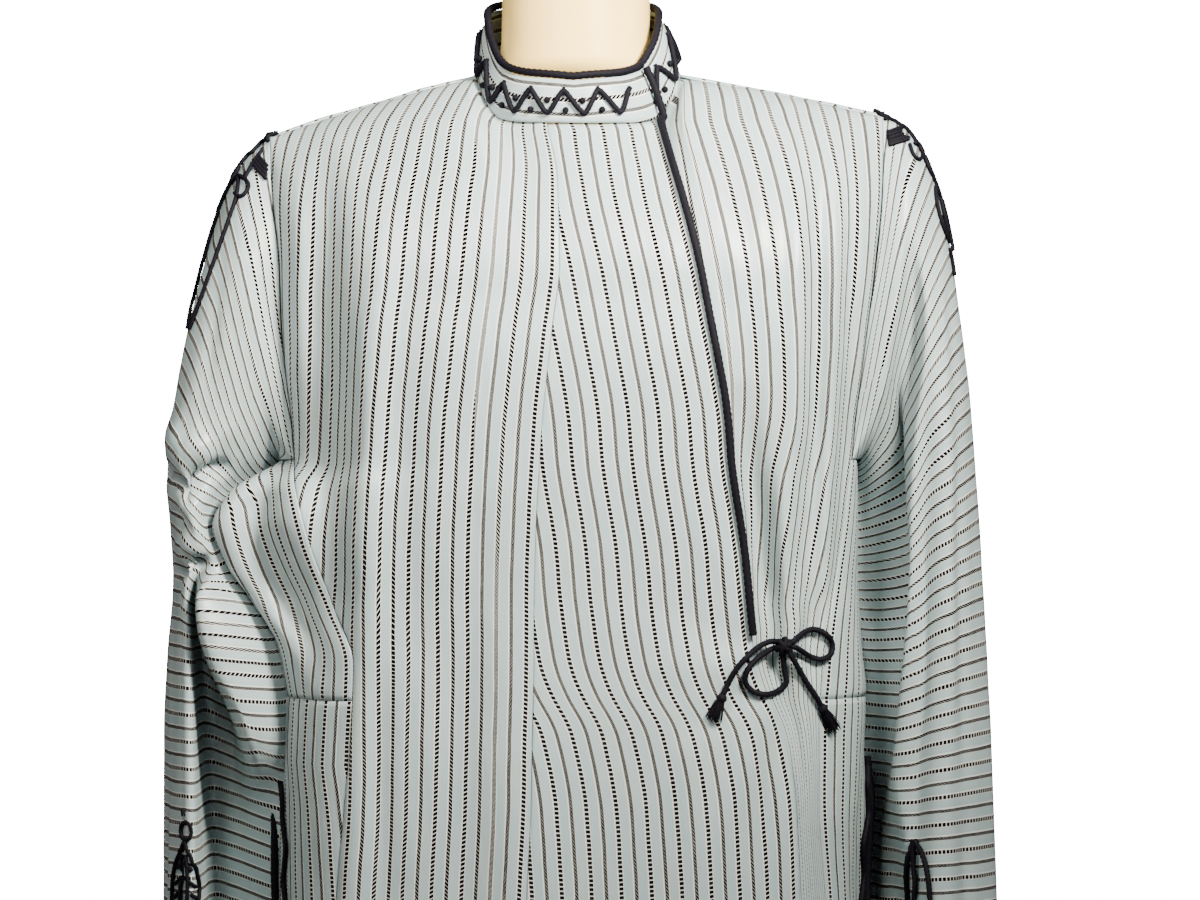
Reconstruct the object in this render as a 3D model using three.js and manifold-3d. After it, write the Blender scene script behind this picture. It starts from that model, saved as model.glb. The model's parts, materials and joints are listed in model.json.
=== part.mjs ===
// A long striped kaftan with a stand collar and a front that laps to the wearer's left, where a cord bow holds it.
// It hangs on a limbless dress form with a neck, a pole and a round base.
// Millimetres, +Z up. The front faces -Y, the wearer's right is -X, and the origin is on the floor under the pole.
// Each cloth piece is a thin wall over a grid of points: rows run down the garment, columns run round it,
// and the outer face is where a row's direction crossed with a column's direction points.
import * as THREE from "three";
import { mergeVertices } from "three/addons/utils/BufferGeometryUtils.js";
import Module from "manifold-3d";

const wasm = await Module();
wasm.setup();

// Cloth, seams and cords
const CLOTH = 1.2;
const SEAM_GAP = 0.4;
const LAP_GAP = 1;
const EDGE_CORD = 5;
const COUCHED_CORD = 3.6;
const TIE_CORD = 5.2;
const CORD_LIFT = 0.9;
const SLEEVE_CORD_LIFT = 2.1;
const CUFF_CORD_LIFT = 1.6;

// Levels of the garment, as heights above the floor
const BUST = 1230;
const UNDERARM = 1113;
const WAIST_SEAM = 943;
const SLIT_TOP = 897;
const HEM = 130;
const CUFF = 732;

const group = new THREE.Group();

const clamp01 = (t) => Math.min(1, Math.max(0, t));
const mix = (a, b, t) => a + (b - a) * t;
const smooth = (t) => clamp01(t) ** 2 * (3 - 2 * clamp01(t));

// A smooth curve through points [at, value], listed from low to high, held level past both ends.
function curve(points) {
  const last = points.length - 1;
  const slope = points.slice(1).map((p, i) => (p[1] - points[i][1]) / (p[0] - points[i][0]));
  const tangent = points.map((_, i) => {
    const before = slope[Math.max(0, i - 1)];
    const after = slope[Math.min(last - 1, i)];
    return before * after <= 0 ? 0 : (2 * before * after) / (before + after);
  });
  return (at) => {
    if (at <= points[0][0]) return points[0][1];
    if (at >= points[last][0]) return points[last][1];
    const i = points.findIndex((p) => p[0] > at) - 1;
    const span = points[i + 1][0] - points[i][0];
    const t = (at - points[i][0]) / span;
    return (
      (2 * t ** 3 - 3 * t ** 2 + 1) * points[i][1] +
      (t ** 3 - 2 * t ** 2 + t) * span * tangent[i] +
      (3 * t ** 2 - 2 * t ** 3) * points[i + 1][1] +
      (t ** 3 - t ** 2) * span * tangent[i + 1]
    );
  };
}
const column = (rows, name, at = "z") => curve(rows.map((row) => [row[at], row[name]]));

// The body of the garment as level rings: half widths on the wearer's right and left, depth in front and behind.
const BODY = [
  { z: 130, right: 285, left: 285, front: 160, back: 150 },
  { z: 450, right: 246, left: 242, front: 144, back: 134 },
  { z: 700, right: 217, left: 209, front: 131, back: 119 },
  { z: 803, right: 212, left: 202, front: 128, back: 114 },
  { z: 897, right: 212, left: 208, front: 125, back: 108 },
  { z: 943, right: 212, left: 210, front: 123, back: 103 },
  { z: 980, right: 215, left: 207, front: 122, back: 99 },
  { z: 1010, right: 226, left: 205, front: 122, back: 98 },
  { z: 1040, right: 243, left: 204, front: 124, back: 97 },
  { z: 1065, right: 252, left: 204, front: 126, back: 97 },
  { z: 1090, right: 236, left: 204, front: 129, back: 98 },
  { z: 1113, right: 207, left: 204, front: 131, back: 99 },
  { z: 1185, right: 215, left: 212, front: 134, back: 102 },
  { z: 1230, right: 219, left: 220, front: 129, back: 101 },
];
const bodyRight = column(BODY, "right");
const bodyLeft = column(BODY, "left");
const bodyFront = column(BODY, "front");
const bodyBack = column(BODY, "back");
const FRONT_SQUARENESS = 2.7;
const BACK_SQUARENESS = 2.5;

// Where the sewn lines run across the body, as distances from the middle: the seams under the arm in front and
// behind, the seam down the middle of the front, and the free edge of the lap.
const SEAMS = [
  { z: 130, frontRight: -205, middle: -48, edge: 178, frontLeft: 214, backRight: -205, backLeft: 208 },
  { z: 803, frontRight: -169, middle: -34, edge: 159, frontLeft: 178, backRight: -172, backLeft: 168 },
  { z: 867, frontRight: -163, middle: -31, edge: 156, frontLeft: 173, backRight: -168, backLeft: 166 },
  { z: 917, frontRight: -159, middle: -30, edge: 148, frontLeft: 173, backRight: -166, backLeft: 166 },
  { z: 970, frontRight: -157, middle: -29, edge: 127, frontLeft: 177, backRight: -168, backLeft: 168 },
  { z: 1006, frontRight: -170, middle: -29, edge: 122, frontLeft: 182, backRight: -176, backLeft: 174 },
  { z: 1053, frontRight: -188, middle: -28, edge: 117, frontLeft: 190, backRight: -188, backLeft: 184 },
  { z: 1113, frontRight: -202, middle: -25, edge: 108, frontLeft: 198, backRight: -201, backLeft: 197 },
  { z: 1142, frontRight: -204, middle: -23, edge: 105.7, frontLeft: 201, backRight: -204, backLeft: 201 },
  { z: 1206, frontRight: -211, middle: -16, edge: 94.6, frontLeft: 209, backRight: -210, backLeft: 209 },
  { z: 1250, frontRight: -212.4, middle: -11, edge: 86.4, frontLeft: 215, backRight: -213, backLeft: 215 },
  { z: 1313, frontRight: -219, middle: -13, edge: 71, frontLeft: 221, backRight: -219, backLeft: 221 },
  { z: 1355, frontRight: -222, middle: -21.6, edge: 59.7, frontLeft: 222, backRight: -222, backLeft: 222 },
];
const SEAM = Object.fromEntries(
  ["frontRight", "middle", "edge", "frontLeft", "backRight", "backLeft"].map((name) => [name, column(SEAMS, name)]),
);

// The neckline, where the collar is sewn on: an oval round the neck, by angle from the middle of the front.
const NECK = { x: 2, y: -6, wide: 73.7, deep: 69 };
const neckHeight = curve([[0, 1352], [30, 1353], [50, 1357], [68, 1371], [90, 1391], [135, 1402], [180, 1405]]);
const DEGREE = Math.PI / 180;
function neckPoint(angle) {
  const turn = Math.abs(((angle + 540) % 360) - 180);
  return new THREE.Vector3(
    NECK.x + NECK.wide * Math.sin(angle * DEGREE),
    NECK.y - NECK.deep * Math.cos(angle * DEGREE),
    neckHeight(turn),
  );
}

// The shoulder seams, which lie a little in front of the ridge.
const SHOULDER = { y: -11, neck: 1391, right: 1347, left: 1361, end: 222 };
function shoulderPoint(x) {
  const out = (Math.abs(x - NECK.x) - NECK.wide) / (SHOULDER.end - NECK.wide);
  const fall = 0.8 * clamp01(out) + 0.2 * clamp01(out) ** 2;
  return new THREE.Vector3(x, SHOULDER.y + 5 * (1 - clamp01(out)), mix(SHOULDER.neck, x < 0 ? SHOULDER.right : SHOULDER.left, fall));
}

// Folds: each runs down a path of [height, place across], rises outwards by [height, rise], and is so wide.
const FRONT_FOLDS = [
  { name: "corner under the right bust", width: 15, path: [[130, -222], [803, -161], [970, -151], [1155, -146], [1260, -137]],
    rise: [[130, 12], [803, 8], [1000, 10], [1200, 9], [1330, 0]] },
  { name: "hollow beside the right arm", width: 17, path: [[1000, -172], [1113, -177], [1240, -181]],
    rise: [[985, 0], [1040, -10], [1180, -15], [1290, -7], [1345, 0]] },
  { name: "long soft trough", width: 26, path: [[130, -105], [1000, -82]], rise: [[130, -15], [700, -6], [1000, -2], [1100, 0]] },
  { name: "long soft ridge", width: 28, path: [[130, -38], [1000, -40]], rise: [[130, 14], [700, 6], [980, 2], [1100, 0]] },
  { name: "lap trough", width: 26, path: [[130, 38], [900, 26]], rise: [[130, -14], [700, -5], [980, 0]] },
  { name: "lap ridge", width: 28, path: [[130, 108], [900, 88]], rise: [[130, 15], [700, 5], [960, 0]] },
];
const UNDERLAP_FOLDS = [
  { name: "hollow beside the edge", width: 12, path: [[960, 141], [1053, 130], [1142, 119]],
    rise: [[940, -4], [990, -18], [1060, -20], [1130, -10], [1170, 0]] },
  { name: "first pleat", width: 10, path: [[950, 152], [1060, 151], [1200, 157], [1330, 160]],
    rise: [[930, 0], [1000, 6], [1200, 8], [1350, 0]] },
  { name: "first pleat hollow", width: 8, path: [[950, 166], [1200, 171], [1330, 172]], rise: [[930, 0], [1010, -7], [1200, -9], [1340, 0]] },
  { name: "second pleat", width: 8, path: [[950, 174], [1200, 183], [1330, 186]], rise: [[930, 0], [1010, 6], [1200, 8], [1330, 0]] },
  { name: "second pleat hollow", width: 7, path: [[1000, 184], [1200, 195], [1330, 198]], rise: [[980, 0], [1060, -6], [1200, -8], [1330, 0]] },
];
const BACK_FOLDS = [
  { name: "right shoulder blade fold", width: 22, path: [[130, -150], [1000, -128], [1240, -140]], rise: [[130, 16], [700, 8], [1150, 9], [1290, 0]] },
  { name: "right trough", width: 24, path: [[130, -88], [1100, -86]], rise: [[130, -15], [700, -8], [1100, -4], [1230, 0]] },
  { name: "middle ridge", width: 26, path: [[130, -22], [1100, -30]], rise: [[130, 14], [700, 7], [1050, 4], [1200, 0]] },
  { name: "left trough", width: 24, path: [[130, 52], [1100, 46]], rise: [[130, -16], [700, -8], [1100, -3], [1200, 0]] },
  { name: "left shoulder blade fold", width: 22, path: [[130, 132], [1000, 122], [1240, 136]], rise: [[130, 16], [700, 7], [1150, 10], [1290, 0]] },
];
function readied(folds) {
  return folds.map((fold) => ({ width: fold.width, across: curve(fold.path), rise: curve(fold.rise) }));
}
const frontFolds = readied(FRONT_FOLDS);
const underlapFolds = readied(UNDERLAP_FOLDS);
const backFolds = readied(BACK_FOLDS);
function rise(folds, x, z) {
  return folds.reduce((sum, fold) => sum + fold.rise(z) * Math.exp(-(((x - fold.across(z)) / fold.width) ** 2)), 0);
}

const MOST_ROUND = 0.999;
function ringDepth(x, z, depth, squareness) {
  const half = x < 0 ? bodyRight(z) : bodyLeft(z);
  const share = Math.min(MOST_ROUND, Math.abs(x) / half);
  return depth * (1 - share ** squareness) ** (1 / squareness);
}
// The three faces: which way each looks, its ring, and how far its folds lift it.
const FRONT = {
  sign: -1,
  ring: (x, z) => ringDepth(x, z, bodyFront(z), FRONT_SQUARENESS),
  lift: (x, z) => rise(frontFolds, x, z),
};
const UNDERLAP = {
  ...FRONT,
  lift: (x, z) => FRONT.lift(x, z) + smooth((x - SEAM.edge(z)) / 10) * rise(underlapFolds, x, z),
};
const BACK = {
  sign: 1,
  ring: (x, z) => ringDepth(x, z, bodyBack(z), BACK_SQUARENESS),
  lift: (x, z) => rise(backFolds, x, z),
};
const depthOn = (face, x, z) => face.sign * (face.ring(x, z) + face.lift(x, z));

// Rows: five from the shoulder to the bust, four to the underarm, then down to the hem.
const YOKE_ROWS = [0, 0.16, 0.34, 0.54, 0.76];
const ARMHOLE_LEVELS = [BUST, 1200, 1170, 1141, UNDERARM];
const BODY_LEVELS = [1090, 1065, 1040, 1010, 977, WAIST_SEAM, SLIT_TOP, 850, 790, 700, 590, 460, 300, HEM];
const LEVELS = [...ARMHOLE_LEVELS, ...BODY_LEVELS];
const UNDERARM_ROW = YOKE_ROWS.length + ARMHOLE_LEVELS.length - 1;
const WAIST_ROW = YOKE_ROWS.length + LEVELS.indexOf(WAIST_SEAM);
const SLIT_ROW = YOKE_ROWS.length + LEVELS.indexOf(SLIT_TOP);
const LAST_ROW = YOKE_ROWS.length + LEVELS.length - 1;

function bezier(a, b, c, d, t) {
  const s = 1 - t;
  return s ** 3 * a + 3 * s * s * t * b + 3 * s * t * t * c + t ** 3 * d;
}

// One column of the front or the back: over the shoulder or down from the neckline to the bust, then to the hem.
function columnPoints(top, across, face) {
  const away = Math.abs(top.x - NECK.x) / NECK.wide;
  const overShoulder = smooth((away - 0.55) / 0.45);
  const end = face.sign * face.ring(across(BUST), BUST);
  const reach = end - top.y;
  const first = face === BACK
    ? { y: top.y + 0.27 * reach, z: top.z + mix(-13, 13, overShoulder) }
    : { y: top.y + mix(0.35, 0.5, overShoulder) * reach, z: top.z - mix(32, 10, overShoulder) };
  const second = { y: end, z: mix(BUST, top.z, face === BACK ? 0.66 : 0.5) };
  const yoke = YOKE_ROWS.map((t) => {
    const z = bezier(top.z, first.z, second.z, BUST, t);
    const x = t === 0 ? top.x : across(Math.min(z, top.z));
    const lift = t === 0 ? 0 : face.lift(x, Math.max(z, BUST));
    return new THREE.Vector3(x, bezier(top.y, first.y, second.y, end, t) + face.sign * lift, z);
  });
  const lower = LEVELS.map((z) => new THREE.Vector3(across(z), depthOn(face, across(z), z), z));
  return [...yoke, ...lower];
}

const rowsOf = (columns) => columns[0].map((_, j) => columns.map((points) => points[j]));
const topOf = (x) => {
  const turn = (x - NECK.x) / NECK.wide;
  return Math.abs(turn) <= 1 ? neckPoint(Math.asin(turn) / DEGREE) : shoulderPoint(x);
};
const backTopOf = (x) => {
  const turn = (x - NECK.x) / NECK.wide;
  return Math.abs(turn) <= 1 ? neckPoint(180 - Math.asin(turn) / DEGREE) : shoulderPoint(x);
};

// How far across its stretch each column lies. The neck's corner falls on a column of its own.
const RIGHT_SHARES = [0, 0.06, 0.13, 0.21, 0.3, 0.41, 0.52, 0.63, 0.7495, 0.79, 0.86, 0.93, 1];
const LAP_SHARES = [0, 1 / 6, 2 / 6, 3 / 6, 4 / 6, 5 / 6, 1];
const LEFT_SHARES = [0, 0.066, 0.0987, 0.19, 0.29, 0.39, 0.49, 0.59, 0.69, 0.79, 0.89, 1];
const RIGHT_CORNER = 8;
const LEFT_CORNER = 2;

const TOP_LEVEL = SEAMS.at(-1).z;
function frontColumns(shares, fromSeam, toSeam, face) {
  return shares.map((share) => {
    const across = (z) => mix(SEAM[fromSeam](z), SEAM[toSeam](z), share);
    return columnPoints(topOf(across(TOP_LEVEL)), across, face);
  });
}
const rightColumns = frontColumns(RIGHT_SHARES, "frontRight", "middle", FRONT);
const lapColumns = frontColumns(LAP_SHARES, "middle", "edge", FRONT);
const leftColumns = frontColumns(LEFT_SHARES, "edge", "frontLeft", UNDERLAP);

// The back starts on the same shoulder points as the fronts, and crosses the neck on the collar's angles.
const BACK_NECK_ANGLES = [112.5, 135, 157.5, 180, 202.5, 225, 247.5];
const backTops = [
  ...leftColumns.slice(LEFT_CORNER).map((points) => points[0].x).reverse(),
  ...BACK_NECK_ANGLES.map((angle) => neckPoint(angle).x),
  ...rightColumns.slice(0, RIGHT_CORNER + 1).map((points) => points[0].x).reverse(),
];
const backColumns = backTops.map((x) => {
  const share = (x - SEAM.backRight(TOP_LEVEL)) / (SEAM.backLeft(TOP_LEVEL) - SEAM.backRight(TOP_LEVEL));
  const across = (z) => mix(SEAM.backRight(z), SEAM.backLeft(z), share);
  return columnPoints(backTopOf(x), across, BACK);
});

// The gusset under the right arm pushes a soft fold out in front of the sleeve's inner edge: by height, how far.
const GUSSET_FOLD = { rise: curve([[943, 0], [980, 6], [1010, 12], [1040, 16], [1065, 14], [1090, 5], [1108, 0]]), place: 0.27, width: 0.13 };

// A side piece between the front seam and the back seam, round the ring of each level.
function sidePoint(z, isRight, share) {
  const half = isRight ? bodyRight(z) : bodyLeft(z);
  const frontX = Math.abs(isRight ? SEAM.frontRight(z) : SEAM.frontLeft(z));
  const backX = Math.abs(isRight ? SEAM.backRight(z) : SEAM.backLeft(z));
  const frontTurn = Math.acos(Math.min(MOST_ROUND, frontX / half) ** (FRONT_SQUARENESS / 2));
  const backTurn = -Math.acos(Math.min(MOST_ROUND, backX / half) ** (BACK_SQUARENESS / 2));
  const turn = mix(frontTurn, backTurn, share);
  const squareness = turn > 0 ? FRONT_SQUARENESS : BACK_SQUARENESS;
  const fold = isRight ? GUSSET_FOLD.rise(z) * Math.exp(-(((share - GUSSET_FOLD.place) / GUSSET_FOLD.width) ** 2)) : 0;
  const x = half * Math.cos(turn) ** (2 / squareness) + fold;
  const depth = turn > 0 ? -bodyFront(z) : bodyBack(z);
  const y = depth * Math.abs(Math.sin(turn)) ** (2 / squareness);
  const frontLift = (isRight ? FRONT : UNDERLAP).lift(isRight ? -frontX : frontX, z) * smooth(1 - 2 * share);
  const backLift = BACK.lift(isRight ? -backX : backX, z) * smooth(2 * share - 1);
  return new THREE.Vector3(isRight ? -x : x, y - frontLift + backLift, z);
}
const SIDE_SHARES = [0, 0.17, 0.34, 0.5, 0.66, 0.83, 1];

// The side piece's column next to the front or the back seam, for the rows that are sewn to it.
function besideSeam(isRight, isFront) {
  const share = isFront ? SIDE_SHARES[1] : SIDE_SHARES.at(-2);
  const open = Array(UNDERARM_ROW).fill(null);
  return [...open, ...LEVELS.slice(ARMHOLE_LEVELS.length - 1).map((z) => sidePoint(z, isRight, share))];
}

// Rows of a side piece. On the wearer's right the columns run from the back to the front.
function sideRows(isRight, levels, shares) {
  return levels.map((z) => {
    const row = shares.map((share) => sidePoint(z, isRight, share));
    return isRight ? row.reverse() : row;
  });
}

// The slit opens a little more the lower it goes, so its two edges draw apart in depth.
const HALF_SHARES = [0, 0.36, 0.7, 1];
const slitHalfWidth = curve([[HEM, 0.2], [600, 0.11], [850, 0.035], [SLIT_TOP, 0.006]]);
function slitRows(isRight, isFront) {
  const levels = LEVELS.slice(LEVELS.indexOf(WAIST_SEAM));
  return levels.map((z) => {
    const reach = 0.5 - (z > SLIT_TOP ? 0.0035 : slitHalfWidth(z));
    const shares = isFront ? HALF_SHARES : HALF_SHARES.map((share) => 1 / reach - share).reverse();
    const row = shares.map((share) => sidePoint(z, isRight, share * reach));
    return isRight ? row.reverse() : row;
  });
}

// A direction that points out of a grid of points at one of them. Where the cloth is sewn to another piece,
// before and after are that piece's columns next to the seam, so that both walls turn the same way there.
function outward(grid, j, i, { closed = false, before = null, after = null } = {}) {
  const rows = grid.length;
  const cols = grid[0].length;
  const left = closed ? grid[j][(i + cols - 1) % cols] : i > 0 ? grid[j][i - 1] : before?.[j] ?? grid[j][i];
  const right = closed ? grid[j][(i + 1) % cols] : i < cols - 1 ? grid[j][i + 1] : after?.[j] ?? grid[j][i];
  const down = new THREE.Vector3().subVectors(grid[Math.min(rows - 1, j + 1)][i], grid[Math.max(0, j - 1)][i]);
  const across = new THREE.Vector3().subVectors(right, left);
  return down.cross(across).normalize();
}

// Moves a grid's points out along its own normals.
function offsetGrid(grid, distance, joins = {}) {
  return grid.map((row, j) => row.map((p, i) => p.clone().addScaledVector(outward(grid, j, i, joins), distance(j, i))));
}

// Draws a grid in from its four edges, to leave the gap of a seam.
function trimmed(grid, { top = 0, low = 0, start = 0, end = 0 }) {
  const rows = grid.length - 1;
  const cols = grid[0].length - 1;
  const toward = (p, q, by) => p.clone().addScaledVector(q.clone().sub(p).normalize(), by);
  let out = grid.map((row) => row.map((p) => p.clone()));
  if (start) out = out.map((row, j) => row.map((p, i) => (i === 0 ? toward(p, grid[j][1], start) : p)));
  if (end) out = out.map((row, j) => row.map((p, i) => (i === cols ? toward(p, grid[j][cols - 1], end) : p)));
  if (top) out[0] = out[0].map((p, i) => toward(p, out[1][i], top));
  if (low) out[rows] = out[rows].map((p, i) => toward(p, out[rows - 1][i], low));
  return out;
}

// Closes a grid of outer points into a thin wall. Cells that open() names are left out, and their sides are walled.
function wall(grid, { closed = false, thick = CLOTH, open = () => false, before = null, after = null } = {}) {
  const rows = grid.length;
  const cols = grid[0].length;
  const inner = offsetGrid(grid, () => -thick, { closed, before, after });
  const at = (layer, j, i) => (layer * rows + j) * cols + (i % cols);
  const cells = closed ? cols : cols - 1;
  const has = (j, i) => {
    if (j < 0 || j >= rows - 1) return false;
    if (!closed && (i < 0 || i >= cells)) return false;
    return !open(j, (i + cells) % cells);
  };
  const faces = [];
  const quad = (a, b, c, d) => faces.push(a, b, c, a, c, d);
  for (let j = 0; j < rows - 1; j++) {
    for (let i = 0; i < cells; i++) {
      if (!has(j, i)) continue;
      const k = i + 1;
      quad(at(0, j, i), at(0, j + 1, i), at(0, j + 1, k), at(0, j, k));
      quad(at(1, j, i), at(1, j, k), at(1, j + 1, k), at(1, j + 1, i));
      if (!has(j - 1, i)) quad(at(0, j, i), at(0, j, k), at(1, j, k), at(1, j, i));
      if (!has(j + 1, i)) quad(at(0, j + 1, k), at(0, j + 1, i), at(1, j + 1, i), at(1, j + 1, k));
      if (!has(j, i - 1)) quad(at(0, j + 1, i), at(0, j, i), at(1, j, i), at(1, j + 1, i));
      if (!has(j, i + 1)) quad(at(0, j, k), at(0, j + 1, k), at(1, j + 1, k), at(1, j, k));
    }
  }
  const position = new Float32Array([...grid.flat(), ...inner.flat()].flatMap((p) => [p.x, p.y, p.z]));
  const geometry = new THREE.BufferGeometry();
  geometry.setAttribute("position", new THREE.BufferAttribute(position, 3));
  geometry.setIndex(faces);
  return geometry;
}

// Materials
const satin = new THREE.MeshStandardMaterial({ color: 0xb4c4c6, roughness: 0.42, side: THREE.DoubleSide });
const cordBlack = new THREE.MeshStandardMaterial({ color: 0x14121a, roughness: 0.6 });
const formCream = new THREE.MeshStandardMaterial({ color: 0xf1e4bf, roughness: 0.45 });
const standMetal = new THREE.MeshStandardMaterial({ color: 0xb9bcc0, roughness: 0.3, metalness: 0.9 });

function add(name, geometry, material) {
  const mesh = new THREE.Mesh(geometry, material);
  mesh.name = name;
  group.add(mesh);
  return mesh;
}

// Front, lap and back
const half = SEAM_GAP / 2;
const rightGrid = rowsOf(rightColumns);
const lapGrid = rowsOf(lapColumns);
const rightJoins = { before: besideSeam(true, true), after: lapColumns[1] };
add("front_right", wall(trimmed(rightGrid, { top: SEAM_GAP, start: half, end: half }), rightJoins), satin);
add("front_lap", wall(trimmed(lapGrid, { top: SEAM_GAP, start: half }), { before: rightColumns.at(-2) }), satin);

// The left front runs on under the lap for four columns, a cloth and a gap further in.
const HIDDEN_COLUMNS = 4;
const underStart = LAP_SHARES.length - 1 - HIDDEN_COLUMNS;
const underlapColumns = [...lapColumns.slice(underStart, -1), ...leftColumns];
const underlapGrid = rowsOf(underlapColumns);
const underlapDepth = (i) => -(CLOTH + LAP_GAP) * (1 - smooth((i - HIDDEN_COLUMNS - 0.5) / 3));
const leftJoins = { after: besideSeam(false, true) };
const leftGrid = offsetGrid(underlapGrid, (j, i) => underlapDepth(i), leftJoins);
add("front_left", wall(trimmed(leftGrid, { top: SEAM_GAP, end: half }), leftJoins), satin);

const backGrid = rowsOf(backColumns);
const backJoins = { before: besideSeam(false, false), after: besideSeam(true, false) };
add("back", wall(trimmed(backGrid, { top: SEAM_GAP, start: half, end: half }), backJoins), satin);

// Side pieces: a gusset above the waist seam, then a front and a back piece with the slit between them
const gussetLevels = LEVELS.slice(ARMHOLE_LEVELS.length - 1, LEVELS.indexOf(WAIST_SEAM) + 1);
const frontBeside = { true: rightGrid.map((row) => row[1]), false: leftGrid.map((row) => row.at(-2)) };
const backBeside = { true: backGrid.map((row) => row.at(-2)), false: backGrid.map((row) => row[1]) };
for (const [side, isRight] of [["right", true], ["left", false]]) {
  const joins = (firstRow) => {
    const front = frontBeside[isRight].slice(firstRow);
    const back = backBeside[isRight].slice(firstRow);
    return isRight ? { before: back, after: front } : { before: front, after: back };
  };
  const seams = { top: half, low: half, start: half, end: half };
  add("gusset_" + side, wall(trimmed(sideRows(isRight, gussetLevels, SIDE_SHARES), seams), joins(UNDERARM_ROW)), satin);
  const { before, after } = joins(WAIST_ROW);
  const [first, second] = isRight ? ["side_back_", "side_front_"] : ["side_front_", "side_back_"];
  add(first + side, wall(trimmed(slitRows(isRight, !isRight), { top: half, start: half }), { before }), satin);
  add(second + side, wall(trimmed(slitRows(isRight, isRight), { top: half, end: half }), { after }), satin);
}

// Sleeves: each ring has an outer and an inner point seen from the front, half a depth and the middle of its depth.
const RIGHT_SLEEVE = [
  { outX: 243, outZ: 1326, inX: 216, inZ: 1110, deep: 64, mid: 4 },
  { outX: 262, outZ: 1283, inX: 229, inZ: 1101, deep: 66, mid: 6 },
  { outX: 276, outZ: 1228, inX: 243, inZ: 1093, deep: 67, mid: 8 },
  { outX: 290, outZ: 1162, inX: 253, inZ: 1081, deep: 68, mid: 9 },
  { outX: 298, outZ: 1108, inX: 256, inZ: 1058, deep: 70, mid: 10 },
  { outX: 295, outZ: 1064, inX: 246, inZ: 1030, deep: 72, mid: 10 },
  { outX: 293, outZ: 1022, inX: 231, inZ: 1000, deep: 74, mid: 10 },
  { outX: 297, outZ: 975, inX: 222, inZ: 961, deep: 75, mid: 10 },
  { outX: 300, outZ: 922, inX: 220, inZ: 912, deep: 76, mid: 10 },
  { outX: 300, outZ: 876, inX: 218, inZ: 868, deep: 76, mid: 10 },
  { outX: 300, outZ: 836, inX: 218, inZ: 832, deep: 77, mid: 10 },
  { outX: 300, outZ: 800, inX: 219, inZ: 798, deep: 78, mid: 10 },
  { outX: 301, outZ: 766, inX: 220, inZ: 765, deep: 79, mid: 10 },
  { outX: 302, outZ: CUFF, inX: 221, inZ: CUFF, deep: 80, mid: 10 },
];
const LEFT_SLEEVE = [
  { outX: 243, outZ: 1349, inX: 211, inZ: 1111, deep: 62, mid: 3 },
  { outX: 260, outZ: 1316, inX: 213, inZ: 1097, deep: 63, mid: 5 },
  { outX: 270, outZ: 1278, inX: 214, inZ: 1079, deep: 64, mid: 7 },
  { outX: 277, outZ: 1233, inX: 215, inZ: 1056, deep: 66, mid: 9 },
  { outX: 284, outZ: 1180, inX: 216, inZ: 1032, deep: 68, mid: 10 },
  { outX: 289, outZ: 1125, inX: 217, inZ: 1007, deep: 70, mid: 12 },
  { outX: 293, outZ: 1070, inX: 218, inZ: 980, deep: 72, mid: 13 },
  { outX: 296, outZ: 1012, inX: 219, inZ: 950, deep: 74, mid: 14 },
  { outX: 299, outZ: 955, inX: 219, inZ: 915, deep: 75, mid: 14 },
  { outX: 302, outZ: 900, inX: 218, inZ: 878, deep: 76, mid: 14 },
  { outX: 305, outZ: 848, inX: 216, inZ: 838, deep: 77, mid: 14 },
  { outX: 307, outZ: 808, inX: 215, inZ: 803, deep: 78, mid: 14 },
  { outX: 309, outZ: 770, inX: 214, inZ: 768, deep: 79, mid: 14 },
  { outX: 311, outZ: CUFF, inX: 214, inZ: CUFF, deep: 80, mid: 14 },
];
const SLEEVE_SQUARENESS = 2.25;
const SLEEVE_SEAM = 1.0;

// Folds in a sleeve: path of [ring, degrees from the outer edge towards the front], rise by ring, width in degrees.
const RIGHT_SLEEVE_FOLDS = readied([
  { name: "deep trench", width: 17, path: [[6, 66], [8, 72], [13, 76]], rise: [[5.4, 0], [7, -20], [9, -30], [13, -32]] },
  { name: "overhanging flap", width: 24, path: [[4, 62], [6, 92], [8, 124], [10, 146]], rise: [[3.4, 0], [4.6, 8], [7, 12], [9, 8], [10.5, 0]] },
  { name: "hollow under the flap", width: 24, path: [[6.5, 100], [9, 120], [13, 122]], rise: [[6, 0], [8, -10], [10, -16], [13, -12]] },
  { name: "elbow break", width: 34, path: [[3, 60], [5, 70]], rise: [[2.6, 0], [3.8, 5], [4.6, -8], [5.6, 0]] },
  { name: "hollow behind", width: 30, path: [[2, 235], [13, 260]], rise: [[1, 0], [5, -12], [9, -16], [13, -14]] },
  { name: "ridge behind", width: 24, path: [[3, 300], [13, 308]], rise: [[2, 0], [6, 7], [13, 8]] },
]);
const LEFT_SLEEVE_FOLDS = readied([
  { name: "shade beside the body", width: 30, path: [[1, 128], [5, 118], [9, 116], [13, 110]], rise: [[0.5, 0], [2, -12], [6, -16], [9, -10], [13, -6]] },
  { name: "front crest", width: 20, path: [[3, 72], [8, 80], [13, 84]], rise: [[1.5, 0], [4, 5], [9, 8], [13, 8]] },
  { name: "crease beside the crest", width: 13, path: [[3, 50], [8, 52], [13, 56]], rise: [[2, 0], [5, -4], [9, -9], [13, -10]] },
  { name: "hollow behind", width: 30, path: [[2, 232], [13, 250]], rise: [[1, 0], [5, -12], [9, -15], [13, -14]] },
  { name: "ridge behind", width: 24, path: [[3, 296], [13, 304]], rise: [[2, 0], [6, 7], [13, 8]] },
]);

function sleeveRise(folds, ring, degrees) {
  return folds.reduce((sum, fold) => {
    const apart = ((degrees - fold.across(ring) + 540) % 360) - 180;
    return sum + fold.rise(ring) * Math.exp(-((apart / fold.width) ** 2));
  }, 0);
}

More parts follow.
